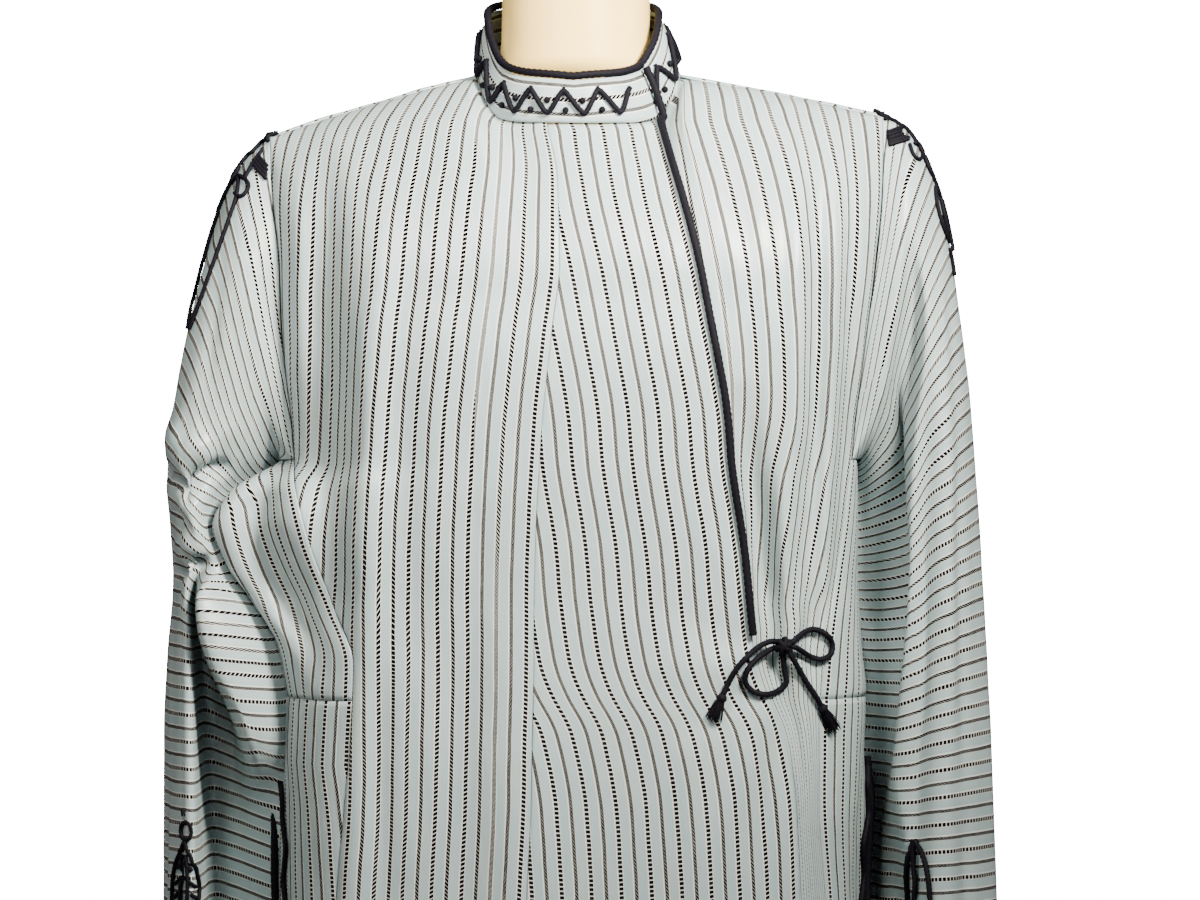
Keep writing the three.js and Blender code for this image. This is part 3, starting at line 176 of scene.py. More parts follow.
UNDERLAP_CREASES = [
    (78, 1384, 104, 1300, 9, 1.8), (96, 1375, 128, 1240, 12, -2.4), (120, 1368, 140, 1200, 10, 2.2),
    (203, 1330, 200, 1150, 5, 2.6), (150, 985, 142, 1110, 7, 3.0), (152, 984, 160, 1120, 6, -3.4),
    (156, 982, 178, 1090, 6, 2.6), (158, 976, 186, 1030, 6, -2.6), (154, 972, 172, 940, 6, 2.6),
    (150, 968, 160, 880, 7, -4.0), (156, 955, 172, 850, 6, 3.0), (128, 1200, 122, 1090, 8, -3.0),
]
BACK_CREASES = [
    (-60, 1385, -130, 1270, 14, 2.0), (62, 1385, 128, 1262, 14, -2.2), (-20, 1360, -14, 1200, 18, 1.6),
    (-170, 1300, -150, 1120, 12, -3.0), (172, 1300, 154, 1110, 12, 3.0), (-100, 1100, -112, 900, 14, 2.6),
    (30, 1060, 22, 820, 16, -2.4), (96, 1080, 104, 860, 13, 2.6), (-50, 860, -60, 560, 18, -3.4),
    (6, 700, 0, 330, 20, 3.6), (90, 640, 96, 260, 18, -3.6), (-120, 560, -132, 220, 18, 3.4),
]


def readied(folds):
    return [(width, curve(path), curve(rise)) for width, path, rise in folds]


def fold_rise(folds, x, z):
    return sum(rise(z) * np.exp(-(((x - across(z)) / width) ** 2)) for width, across, rise in folds)


CREASE_ENDS, CREASE_FADE = (0.06, 0.94), 0.7


def one_crease(px, pz, dx, dz, width, height):
    """A crease from 0, 0 to dx, dz that fades to both its ends."""
    t = np.clip((px * dx + pz * dz) / (dx * dx + dz * dz), 0, 1)
    away = np.hypot(px - t * dx, pz - t * dz)
    return height * np.exp(-((away / width) ** 2)) * np.sin(np.pi * mix(*CREASE_ENDS, t)) ** CREASE_FADE


def crease_rise(creases, x, z):
    total = np.zeros(np.broadcast(x, z).shape)
    for x0, z0, x1, z1, width, height in creases:
        total += one_crease(x - x0, z - z0, x1 - x0, z1 - z0, width, height)
    return total


front_folds, underlap_folds, back_folds = map(readied, (FRONT_FOLDS, UNDERLAP_FOLDS, BACK_FOLDS))
print(len(front_folds + underlap_folds + back_folds), "long folds")

# %% [markdown]
# Three faces carry the folds: the front, the left front that shows beside the lap, and the back. Each is a
# squarish ring at every level, as deep as the table says.
# %% The faces of the body
ROUNDEST = 0.999
FRONT_SQUARE, BACK_SQUARE = 2.7, 2.5
BESIDE_EDGE = 10


def ring_depth(x, z, depth, squareness):
    half = np.where(x < 0, body_right(z), body_left(z))
    share = np.minimum(ROUNDEST, np.abs(x) / half)
    return depth * (1 - share**squareness) ** (1 / squareness)


def front_ring(x, z):
    return ring_depth(x, z, body_front(z), FRONT_SQUARE)


def back_ring(x, z):
    return ring_depth(x, z, body_back(z), BACK_SQUARE)


def front_lift(x, z):
    return fold_rise(front_folds, x, z) + crease_rise(FRONT_CREASES, x, z)


def underlap_lift(x, z):
    beside = smooth((x - SEAM["edge"](z)) / BESIDE_EDGE)
    own = fold_rise(underlap_folds, x, z) + crease_rise(UNDERLAP_CREASES, x, z)
    return front_lift(x, z) + beside * own


def back_lift(x, z):
    return fold_rise(back_folds, x, z) + crease_rise(BACK_CREASES, x, z)


FRONT = (-1, front_ring, front_lift)
UNDERLAP = (-1, front_ring, underlap_lift)
BACK = (1, back_ring, back_lift)
NECK_X, NECK_Y, NECK_WIDE, NECK_DEEP, NECK_SIDE = 2, -6, 73.7, 69, 1391
SHOULDER_HALF, SHOULDER_Y, SHOULDER_BOW = 222, -11, 5
RIGHT_SHOULDER, LEFT_SHOULDER = 1347, 1361
neck_height = curve([(0, 1352), (30, 1353), (50, 1357), (68, 1371), (90, 1391), (135, 1402), (180, 1405)])


def neck_point(angle):
    turn, a = np.abs((angle + 540) % 360 - 180), np.radians(angle)
    return np.stack([NECK_X + NECK_WIDE * np.sin(a), NECK_Y - NECK_DEEP * np.cos(a), neck_height(turn)], -1)


def shoulder_point(x):
    out = np.clip((np.abs(x - NECK_X) - NECK_WIDE) / (SHOULDER_HALF - NECK_WIDE), 0, 1)
    fall = 0.8 * out + 0.2 * out**2
    tip = np.where(x < 0, RIGHT_SHOULDER, LEFT_SHOULDER)
    return np.stack([x, SHOULDER_Y + SHOULDER_BOW * (1 - out), mix(NECK_SIDE, tip, fall)], -1)


def top_points(x, behind):
    turn = np.degrees(np.arcsin(np.clip((x - NECK_X) / NECK_WIDE, -1, 1)))
    on_neck = np.abs(x - NECK_X) <= NECK_WIDE
    return np.where(on_neck[:, None], neck_point(180 - turn if behind else turn), shoulder_point(x))


def bezier(a, b, c, d, t):
    s = 1 - t
    return s**3 * a + 3 * s * s * t * b + 3 * s * t * t * c + t**3 * d


# %% [markdown]
# A panel is a grid of points: rows run down the cloth and columns run round the body. Above the bust the
# columns curve over the shoulder or down from the neckline; below it they follow the rings.
# %% Panels as grids of points
YOKE_T = np.linspace(0, 1, 34, endpoint=False)
FINE_END, FINE_STEP, COARSE_STEP = 760, 5.0, 12.0
COARSE = np.concatenate([np.arange(FINE_END, HEM, -COARSE_STEP), [HEM]])
LEVELS = np.concatenate([np.arange(BUST, FINE_END, -FINE_STEP), COARSE])
LIFT_START = 0.12  # share of the yoke over which the folds begin


def panel_points(across, face, yoke_t=YOKE_T, levels=LEVELS):
    sign, ring, lift = face
    behind = face is BACK
    top = top_points(across(np.array(TOP)), behind)
    out = np.abs(top[:, 0] - NECK_X) / NECK_WIDE
    over = smooth((out - 0.55) / 0.45)
    bust_x = across(np.array(BUST))
    end = sign * ring(bust_x, BUST)
    # the two handles of the curve from the shoulder or neckline to the bust
    first_y = top[:, 1] + (0.27 if behind else mix(0.35, 0.5, over)) * (end - top[:, 1])
    first_z = top[:, 2] + (mix(-13, 13, over) if behind else -mix(32, 10, over))
    second_z = mix(BUST, top[:, 2], 0.66 if behind else 0.5)
    t = yoke_t[:, None]
    z = bezier(top[:, 2], first_z, second_z, BUST, t)
    x = np.where(t == 0, top[:, 0], across(np.minimum(z, top[:, 2])))
    rise = sign * np.where(t == 0, 0, smooth(t / LIFT_START)) * lift(x, np.maximum(z, BUST))
    y = bezier(top[:, 1], first_y, end, end, t) + rise
    low_z = levels[:, None] + np.zeros(len(bust_x))
    low_x = across(low_z)
    low_y = sign * (ring(low_x, low_z) + lift(low_x, low_z))
    return np.concatenate([np.stack([x, y, z], -1), np.stack([low_x, low_y, low_z], -1)])


SEAM_COLUMNS = (0, 1.3, 3.2)


def edged(count, width):
    """Shares from 0 to 1 with two more columns close to each edge, where the sewn seam dips."""
    near = np.array(SEAM_COLUMNS) / width
    inner = np.linspace(near[-1], 1 - near[-1], count)[1:-1]
    return np.concatenate([near, inner, 1 - near[::-1]])


def between(from_seam, to_seam, shares):
    return lambda z: mix(SEAM[from_seam](z), SEAM[to_seam](z), shares)


def normals(points):
    n = np.cross(np.gradient(points, axis=0), np.gradient(points, axis=1))
    return n / np.maximum(np.linalg.norm(n, axis=-1, keepdims=True), 1e-9)


SEAM_DEPTH, SIDE_SHARE, ROW_SHARE = 0.6, 0.35, 0.3


def seam_dip(points, start=True, end=True, top=True, low=False):
    """Pulls the sewn edges in by a little, as a seam does."""
    dip = np.zeros(points.shape[:2])
    for sewn, lines, share in ((start, dip.T, SIDE_SHARE), (end, dip.T[::-1], SIDE_SHARE),
                               (top, dip, ROW_SHARE), (low, dip[::-1], ROW_SHARE)):
        if sewn:
            lines[0] = 1
            lines[1] = np.maximum(lines[1], share)
    return points - normals(points) * dip[..., None] * SEAM_DEPTH


def arcs(points, axis):
    step = np.linalg.norm(np.diff(points, axis=axis), axis=-1)
    pad = [(1, 0), (0, 0)] if axis == 0 else [(0, 0), (1, 0)]
    return np.cumsum(np.pad(step, pad), axis=axis)


right_shares, lap_shares, left_shares = edged(52, 240), edged(46, 220), edged(50, 190)
right_points = panel_points(between("front_right", "middle", right_shares), FRONT)
lap_points = panel_points(between("middle", "edge", lap_shares), FRONT)

hidden_shares = np.concatenate([np.linspace(-2 / 3, 0, 18, endpoint=False), left_shares])


def left_across(z):
    under = mix(SEAM["middle"](z), SEAM["edge"](z), 1 + hidden_shares)
    return np.where(hidden_shares < 0, under, mix(SEAM["edge"](z), SEAM["front_left"](z), hidden_shares))


left_points = panel_points(left_across, UNDERLAP)
UNDER_THE_LAP = 2.2
inward = UNDER_THE_LAP * (1 - smooth((hidden_shares - 0.03) / 0.2))
left_points = left_points - normals(left_points) * inward[None, :, None]
back_points = panel_points(between("back_left", "back_right", edged(96, 520)), BACK)


COLLAR_EASE, COLLAR_RISE = 7, 1.3


def under_collar(points, amount):
    """Carries the neckline a little way in under the collar."""
    outside = np.abs(points[0, :, 0] - NECK_X) - NECK_WIDE
    on_neck = smooth((COLLAR_EASE - outside) / COLLAR_EASE)
    for row, share in ((0, 1.0), (1, 0.45)):
        out = points[row, :, :2] - (NECK_X, NECK_Y)
        out /= np.linalg.norm(out, axis=-1, keepdims=True)
        points[row, :, :2] -= out * (amount * share * on_neck)[:, None]
        points[row, :, 2] += COLLAR_RISE * share * on_neck


for grid, amount in ((right_points, 1.6), (lap_points, 3.0), (left_points, 8.5), (back_points, 1.6)):
    under_collar(grid, amount)
print("front", right_points.shape, lap_points.shape, left_points.shape, "back", back_points.shape)


# %% [markdown]
# The side pieces join front and back round the body. Above the waist seam a gusset gives the arm room;
# below it the piece is cut in two by the slit, whose edges draw apart towards the hem.
# %% Side pieces
# height, millimetres: how far the right gusset's hanging fold stands out
GUSSET_FOLD = [(943, 0), (980, 6), (1010, 12), (1040, 15), (1065, 15), (1090, 15), (1104, 12), (1113, 6)]
# height, share: how deep the valley in front of that fold is
GUSSET_VALLEY = [(950, 0), (980, 0.45), (1015, 1), (1075, 1), (1098, 0.35), (1108, 0)]
gusset_fold, gusset_valley = curve(GUSSET_FOLD), curve(GUSSET_VALLEY)
FOLD_SHARE, FOLD_WIDTH, FOLD_AMOUNT = 0.27, 0.13, 1.25
VALLEY_SHARE, VALLEY_WIDTH, VALLEY_DEEP = 0.14, 0.055, 19


def side_points(z, right, share):
    half = body_right(z) if right else body_left(z)
    front_x = SEAM["front_right" if right else "front_left"](z)
    back_x = SEAM["back_right" if right else "back_left"](z)
    front_turn = np.arccos(np.minimum(ROUNDEST, np.abs(front_x) / half) ** (FRONT_SQUARE / 2))
    back_turn = -np.arccos(np.minimum(ROUNDEST, np.abs(back_x) / half) ** (BACK_SQUARE / 2))
    turn = mix(front_turn, back_turn, share)
    square = np.where(turn > 0, FRONT_SQUARE, BACK_SQUARE)
    x = half * np.cos(turn) ** (2 / square)
    if right:
        x = x + FOLD_AMOUNT * gusset_fold(z) * np.exp(-(((share - FOLD_SHARE) / FOLD_WIDTH) ** 2))
    y = np.where(turn > 0, -body_front(z), body_back(z)) * np.abs(np.sin(turn)) ** (2 / square)
    lift = front_lift if right else underlap_lift
    y = y - lift(front_x, z) * smooth(1 - 2 * share) + back_lift(back_x, z) * smooth(2 * share - 1)
    if right:
        y = y + VALLEY_DEEP * gusset_valley(z) * np.exp(-(((share - VALLEY_SHARE) / VALLEY_WIDTH) ** 2))
    return np.stack([-x if right else x, y, z + 0 * x], -1)


def side_grid(right, levels, shares):
    z, share = np.broadcast_arrays(levels[:, None], shares if np.ndim(shares) == 2 else shares[None])
    grid = side_points(z, right, share)
    return grid[:, ::-1] if right else grid


# height, half of the slit's opening as a share of the side
slit_half = curve([(HEM, 0.2), (600, 0.11), (850, 0.035), (SLIT_TOP, 0.0035)])
gusset_levels = np.linspace(UNDERARM, WAIST_SEAM, 44)
skirt_levels = np.concatenate([np.linspace(WAIST_SEAM, FINE_END, 40, endpoint=False), COARSE])
FLARE, FLARE_ABOVE, FLARE_LONG, FLARE_WIDE = 6.5, 12, 60, 24


def slit_grid(right, front):
    reach = 0.5 - slit_half(skirt_levels)[:, None]
    shares = edged(22, 90)[None] * reach
    grid = side_grid(right, skirt_levels, shares if front else 1 - shares[:, ::-1])
    if front:
        # the front edge turns outwards a little, so its cord is seen
        down = smooth((SLIT_TOP + FLARE_ABOVE - skirt_levels) / FLARE_LONG)[:, None]
        near = np.exp(-((grid[..., 1] + 2) / FLARE_WIDE) ** 2)
        grid[..., 0] += (-1 if right else 1) * FLARE * down * near
    return grid


print("the slits open from", SLIT_TOP, "mm down")


# %% [markdown]
# A sleeve is a tube. Its first ring is the armhole itself, and a table of rings leads it down the arm; the
# cloth's stripes run round it. The worn-looking breaks at the elbow and the deep trench of the empty right
# sleeve are folds given by their place along the sleeve and round it.
# %% Sleeves
# outer edge across and height, inner edge across and height, half depth, middle of the depth
RIGHT_RINGS = [
    (243, 1326, 216, 1110, 64, 4), (262, 1283, 229, 1101, 66, 6), (276, 1228, 243, 1093, 67, 8),
    (290, 1162, 253, 1081, 68, 9), (298, 1108, 256, 1058, 70, 10), (295, 1064, 246, 1030, 72, 10),
    (293, 1022, 231, 1000, 74, 10), (297, 975, 222, 961, 75, 10), (300, 922, 220, 912, 76, 10),
    (300, 876, 218, 868, 76, 10), (300, 836, 218, 832, 77, 10), (300, 800, 219, 798, 78, 10),
    (301, 766, 220, 765, 79, 10), (302, 732, 221, 732, 80, 10),
]
LEFT_RINGS = [
    (243, 1349, 211, 1111, 62, 3), (260, 1316, 213, 1097, 63, 5), (270, 1278, 214, 1079, 64, 7),
    (277, 1233, 215, 1056, 66, 9), (284, 1180, 216, 1032, 68, 10), (289, 1125, 217, 1007, 70, 12),
    (293, 1070, 218, 980, 72, 13), (296, 1012, 219, 950, 74, 14), (299, 955, 219, 915, 75, 14),
    (302, 900, 218, 878, 76, 14), (305, 848, 216, 838, 77, 14), (307, 808, 215, 803, 78, 14),
    (309, 770, 214, 768, 79, 14), (311, 732, 214, 732, 80, 14),
]
RIGHT_SLEEVE_FOLDS = [  # width in degrees, path (ring, degrees), rise (ring, millimetres)
    (30, [(2, 235), (13, 260)], [(1, 0), (5, -12), (9, -16), (13, -14)]),
    (24, [(3, 300), (13, 308)], [(2, 0), (6, 7), (13, 8)]),
]
LEFT_SLEEVE_FOLDS = [
    (20, [(0.5, 120), (2, 124), (4, 130), (6, 140), (8, 152), (13, 160)], [(0.2, 0), (1.3, -16), (3, -26),
     (5, -25), (7, -17), (9, -9), (13, -4)]),
    (11, [(1, 96), (4, 106), (6, 122), (8, 138), (13, 150)], [(0.5, 0), (2, 5), (6, 6), (9, 5), (13, 3)]),
    (11, [(2, 47), (4, 66), (6, 77), (8, 84), (13, 88)], [(1, 0), (3, 4), (8, 6), (13, 7)]),
    (12, [(3, 90), (6, 100), (8, 110), (13, 118)], [(1, 0), (4, -4), (8, -5), (13, -6)]),
    (30, [(2, 232), (13, 250)], [(1, 0), (5, -12), (9, -15), (13, -14)]),
    (24, [(3, 296), (13, 304)], [(2, 0), (6, 7), (13, 8)]),
]


ROUND = 24  # places round a sleeve: 0 at its outer edge, 6 in front, 12 at its inner edge, 18 behind
YOKE_SHARES = (0, 0.16, 0.34, 0.54, 0.76, 1)  # at the places 0 to 5
ARM_LEVELS = (BUST, 1200, 1170, 1141, UNDERARM)  # at the places 5 to 9
UNDER_SHARES = (0, 0.17, 0.34, 0.5, 0.66, 0.83, 1)  # at the places 9 to 15


def armhole(right, place):
    """Points of the armhole: from the shoulder down the front, under the arm and up the back."""
    points = np.zeros((len(place), 3))
    for behind in (False, True):
        step = ROUND - place if behind else place
        chosen = (step < 9) & ((place > ROUND / 2) == behind)
        face = BACK if behind else (FRONT if right else UNDERLAP)
        seam = SEAM[("back_" if behind else "front_") + ("right" if right else "left")]
        across = lambda z: seam(z) + np.zeros(1)
        for k in np.nonzero(chosen)[0]:
            t = np.interp(step[k], range(6), YOKE_SHARES)
            level = np.interp(step[k], range(5, 10), ARM_LEVELS)
            if t < 1:
                points[k] = panel_points(across, face, np.array([t]), np.array([BUST]))[0, 0]
            else:
                points[k] = panel_points(across, face, np.array([0.5]), np.array([level]))[1, 0]
    under = (place >= 9) & (place <= 15)
    shares = np.interp(place[under], range(9, 16), UNDER_SHARES)
    points[under] = side_points(np.full(len(shares), float(UNDERARM)), right, shares)
    return points


def through_four(a, b, c, d, t):
    """The smooth curve from b to c that a and d give its direction at each end."""
    return 0.5 * (2 * b + (c - a) * t + (2 * a - 5 * b + 4 * c - d) * t**2 + (3 * b - a - 3 * c + d) * t**3)


def catmull(values, at):
    """Smooth rows between listed rows."""
    i = np.clip(np.floor(at).astype(int), 0, len(values) - 2)
    four = (values[np.clip(i + k, 0, len(values) - 1)] for k in (-1, 0, 1, 2))
    return through_four(*four, (at - i)[:, None, None])


# %% The empty right sleeve
# It collapses below the elbow: an outer column, a deep trench beside it, and a flap of the upper cloth that
# hangs over the trench. For each ring the list goes over its front from the outer edge to the inner one:
# across in the 1200 x 900 picture, and millimetres towards the viewer from the middle of the depth.
PICTURE_MIDDLE = (600, 450)
SLEEVE_SCALE = 0.714  # millimetres for one unit of the picture at the sleeve
BEHIND = 26.0
FRONT_PLACES = [0, 2.2, 4.5, 5.4, 6.2, 7.6, 8.8, 10.3, 12]
RIGHT_FRONT = {
    5: [(173, 42), (184, 60), (193, 66), (201, 66), (212, 64), (224, 58), (238, 42)],
    6: [(173, 42), (180, 58), (187, 62), (191, 40), (196, 60), (203, 80), (263, 50)],
    7: [(170, 42), (180, 62), (191, 62), (193, 0), (203, 10), (212, 84), (287, 47)],
    8: [(169, 44), (180, 64), (193, 64), (196, -14), (222, -4), (246, 74), (286, 44)],
    9: [(168, 46), (181, 66), (195, 66), (199, -18), (222, -8), (250, 26), (284, 40)],
    10: [(167, 47), (182, 68), (196, 67), (201, -18), (222, -8), (250, 16), (282, 36)],
    11: [(166, 48), (182, 69), (197, 68), (203, -16), (224, -6), (250, 14), (282, 34)],
    12: [(166, 49), (183, 70), (198, 69), (205, -12), (226, -4), (250, 14), (281, 32)],
    13: [(166, 49), (184, 71), (199, 70), (206, -6), (227, 0), (250, 16), (280, 32)],
}


def collapsed(ring_points, row, ring, place):
    """Puts the front half of a ring on its listed points."""
    out_x, out_z, in_x, in_z, _, mid = ring
    right_of = lambda px: -(EYE_ACROSS + (px - PICTURE_MIDDLE[0]) * SLEEVE_SCALE)
    seen = [(right_of(px), forward) for px, forward in RIGHT_FRONT[row]]
    loop = np.array([(out_x - 4, -BEHIND), (out_x, 0.0)] + seen + [(in_x, 0.0), (in_x + 4, -BEHIND)])
    place = place % ROUND
    at = np.interp(place, FRONT_PLACES, np.arange(len(FRONT_PLACES))) + 1
    spots = catmull(loop[:, None, :], at)[:, 0]
    share = (out_x - spots[:, 0]) / (out_x - in_x)
    front = place <= ROUND / 2
    ring_points[front, 0] = -spots[front, 0]
    ring_points[front, 1] = mid - spots[front, 1]
    ring_points[front, 2] = mix(out_z, in_z, np.clip(share[front], -0.1, 1.1))
    return ring_points


SLEEVE_SQUARE = 2.25
RING_LONG, DEGREE_LONG = 38, 1.2  # millimetres along the sleeve and round it


def squared(v):
    return np.sign(v) * np.abs(v) ** (2 / SLEEVE_SQUARE)


def listed_rings(right, rings, place):
    """The armhole, then one squarish ring for each row of the table."""
    side, turn = -1 if right else 1, place / ROUND * 2 * np.pi
    listed = [armhole(right, place % ROUND)]
    for row, (out_x, out_z, in_x, in_z, deep, mid) in enumerate(rings):
        out, inside = np.array([side * out_x, mid, out_z]), np.array([side * in_x, mid, in_z])
        ring = (out + inside) / 2 + (out - inside) / 2 * squared(np.cos(turn))[:, None]
        ring[:, 1] -= deep * squared(np.sin(turn))
        if right and row in RIGHT_FRONT:
            ring = collapsed(ring, row, rings[row], place)
        listed.append(ring)
    return np.array(listed)


def apart_from(degrees, other):
    return (degrees - other + 540) % 360 - 180


def sleeve_lift(folds, creases, degrees, ring_at):
    lift = np.zeros(np.broadcast(degrees, ring_at).shape)
    for width, across, rise in readied(folds):
        lift += rise(ring_at) * np.exp(-((apart_from(degrees, across(ring_at)) / width) ** 2))
    for r0, d0, r1, d1, width, height in creases:
        px, pz = apart_from(degrees, d0) * DEGREE_LONG, (ring_at - r0) * RING_LONG
        lift += one_crease(px, pz, (d1 - d0) * DEGREE_LONG, (r1 - r0) * RING_LONG, width, height)
    return lift * smooth((ring_at + 1) / 3)


# ring, degrees: the edge of the left sleeve that faces the front
LEFT_EDGE = [
    (0, 66), (1.5, 74), (3, 96), (5, 124), (6.5, 146), (7.5, 152), (8.5, 146), (10, 128), (12, 114),
    (13, 112),
]
# ring, millimetres: how far the cloth falls back inside that edge
LEFT_BACK = [(0.2, 0), (1.2, 20), (3, 36), (5, 30), (6.5, 14), (7.5, 10), (8.5, 20), (10, 38), (13, 44)]
left_edge_at, left_back_by = curve(LEFT_EDGE), curve(LEFT_BACK)
TOUCHING = {True: 196, False: 186}  # degrees of the edge that rests on the body
TOUCH_WIDTH, TOUCH_IN = 26, 1.6


def fall_back(points, degrees, rows):
    """Between the body and the edge that faces the front, the left sleeve's cloth falls back."""
    past_edge = smooth((degrees % 360 - left_edge_at(rows - 1)[:, None] + 6) / 17)
    points[..., 1] += left_back_by(rows - 1)[:, None] * past_edge * smooth((198 - degrees % 360) / 36)


def rest_on_body(points, right, degrees, rows):
    """Moves the inner edge in until it touches the body's side."""
    side = -1 if right else 1
    edge = int(np.argmin(np.abs(degrees % 360 - TOUCHING[right])))
    half = body_right(points[:, edge, 2]) if right else body_left(points[:, edge, 2])
    apart = np.maximum(side * points[:, edge, 0] - half + TOUCH_IN, 0) * smooth(rows / 1.2)
    near = np.exp(-(apart_from(degrees, TOUCHING[right]) / TOUCH_WIDTH) ** 2)
    points[..., 0] -= side * apart[:, None] * near


def sleeve_points(right, rings, folds, creases, place, rows):
    points = catmull(listed_rings(right, rings, place), rows)
    degrees = place / ROUND * 360
    lift = sleeve_lift(folds, creases, degrees[None, :], rows[:, None] - 1)
    outward = normals(points)
    middle = points.mean(1, keepdims=True)
    facing = np.sign(np.sum(outward * (points - middle), -1, keepdims=True).mean())
    points = points + outward * facing * lift[..., None]
    if not right:
        fall_back(points, degrees, rows)
    rest_on_body(points, right, degrees, rows)
    return points


# ring and degrees of one end, then of the other, width, rise in millimetres
RIGHT_SLEEVE_CREASES = [
    (4.0, 2, 4.1, 40, 6, -7), (4.1, 36, 3.9, 84, 7, -14), (3.9, 80, 3.1, 116, 8, -17),
    (3.1, 112, 2.2, 136, 7, -11), (3.5, 24, 3.3, 80, 10, 5), (3.3, 76, 2.6, 108, 9, 7),
    (2.6, 104, 1.4, 118, 10, 4), (1.0, 62, 2.3, 84, 15, -3), (0.4, 40, 2.8, 34, 16, 3),
    (5.75, 14, 5.6, 60, 6, -8), (5.6, 56, 5.0, 112, 7, -9), (5.2, 30, 4.9, 96, 8, 4),
    (4.6, 34, 4.5, 84, 6, -3), (0.8, 172, 3.4, 176, 15, 8), (6.4, 22, 8.6, 30, 9, 2),
    (8.8, 18, 13, 24, 8, -2), (9.6, 36, 12.6, 40, 8, 2), (7, 128, 9, 146, 8, -4), (3, 214, 5, 250, 12, -5),
    (4.4, 214, 6, 300, 12, 5), (7, 210, 10, 240, 14, 4), (2, 280, 6, 330, 14, -3.4),
    (9, 300, 13, 330, 14, -4),
]
LEFT_SLEEVE_CREASES = [
    (1, 40, 4, 60, 13, -2.4), (2, 70, 6, 84, 11, 3), (4, 92, 8, 104, 10, -3.4), (6, 24, 12, 34, 13, 2.6),
    (5, 62, 9, 66, 9, -2.6), (8, 90, 13, 92, 9, 3), (10, 70, 13, 70, 8, -3), (0.6, 78, 3, 104, 11, 3),
    (3, 104, 5, 130, 9, 3.4), (9, 12, 13, 14, 12, -2.4), (3, 214, 5, 250, 12, -5), (5, 214, 7, 300, 12, 5),
    (8, 215, 11, 235, 14, 4), (2, 280, 6, 332, 14, -3.4), (9, 298, 13, 326, 14, -4),
]
RIGHT_SLEEVE = (RIGHT_RINGS, RIGHT_SLEEVE_FOLDS, RIGHT_SLEEVE_CREASES)
LEFT_SLEEVE = (LEFT_RINGS, LEFT_SLEEVE_FOLDS, LEFT_SLEEVE_CREASES)
SLIT_PLACE = {True: 4.5, False: 7.5}
SLIT_ROW, CUFF_ROW, SLIT_OPEN = 11, 14, 2.4
whole_rows, slit_rows = np.linspace(0, SLIT_ROW, 112, endpoint=False), np.linspace(SLIT_ROW, CUFF_ROW, 28)
sleeve_rows = np.concatenate([whole_rows, slit_rows])


def sleeve_places(right):
    return SLIT_PLACE[right] + np.linspace(0, ROUND, 110)


def sleeve_grid(right):
    grid = sleeve_points(right, *(RIGHT_SLEEVE if right else LEFT_SLEEVE), sleeve_places(right), sleeve_rows)
    grid[:, -1] = grid[:, 0]
    # below its last rings the cuff is slit open
    apart = np.clip((sleeve_rows - SLIT_ROW) / (CUFF_ROW - SLIT_ROW), 0, 1) * SLIT_OPEN
    direction = grid[:, 1] - grid[:, 0]
    direction /= np.linalg.norm(direction, axis=-1, keepdims=True)
    grid[:, 0] += direction * apart[:, None]
    grid[:, -1] -= direction * apart[:, None]
    return grid


right_sleeve, left_sleeve = sleeve_grid(True), sleeve_grid(False)
print("sleeves", right_sleeve.shape, left_sleeve.shape)


# %% [markdown]
# The collar stands on the neckline. It starts hidden under the lap, goes round the back of the neck and
# ends at the lap's edge, so its hidden end lies a little further in.
# %% Collar
collar_height = curve([(0, 31), (60, 36), (90, 42), (180, 42)])
RIM_MIDDLE, RIM_WIDE, RIM_DEEP = (-2, -7), 63, 65.5
COLLAR_BULGE, TUCK_ANGLE, TUCK_IN, TUCK_DOWN = 1.4, -282, 5.0, 2.5


def collar_points(angles, up):
    turn, a = np.abs((angles + 540) % 360 - 180), np.radians(angles)
    base = neck_point(angles)
    rim_x, rim_y = RIM_MIDDLE[0] + RIM_WIDE * np.sin(a), RIM_MIDDLE[1] - RIM_DEEP * np.cos(a)
    rim = np.stack([rim_x, rim_y, base[:, 2] + collar_height(turn)], -1)
    share = up[:, None, None]
    points = base[None] + (rim - base)[None] * share
    points[..., 2] += 0.6 * (1 - share[..., 0])
    # the hidden end lies further in
    tucked = smooth((TUCK_ANGLE - angles) / 30)[None]
    inside = points[..., :2] - np.array(RIM_MIDDLE)
    points[..., :2] -= inside / np.linalg.norm(inside, axis=-1, keepdims=True) * TUCK_IN * tucked[..., None]
    points[..., 2] -= TUCK_DOWN * tucked * share[..., 0]
    return points + normals(points) * COLLAR_BULGE * np.sin(np.pi * up)[:, None, None]


HIDDEN_END = -335.4
LAP_ANGLE = math.degrees(math.asin((SEAMS[-1][3] - NECK_X) / NECK_WIDE))
collar_angles = np.linspace(HIDDEN_END, LAP_ANGLE, 190)
collar_grid = collar_points(collar_angles, np.linspace(1, 0, 13))
print("collar ends at", round(LAP_ANGLE, 1), "degrees")


# %% [markdown]
# Cloth needs a map of its weave: one coordinate across the stripes and one along them, both in metres of
# real cloth. On the body they are measured round the body and down it, from the seam that the stripes are
# parallel to.
# %% Where the stripes run
def blend_top(points, across, top_across, rows=len(YOKE_T)):
    """Above the bust the stripes lean from where they start on the shoulder to where they lie on the bust."""
    down = arcs(points, 0)
    share = np.clip(down[:rows] / np.maximum(down[rows], 1), 0, 1)
    lean = 1 - (1 - share) ** 1.5
    out = across.copy()
    out[:rows] = mix(top_across[None], across[rows][None], lean)
    return out


def from_last(points):
    """Millimetres round the body to the last column."""
    round_body = arcs(points, 1)
    return round_body[:, -1:] - round_body


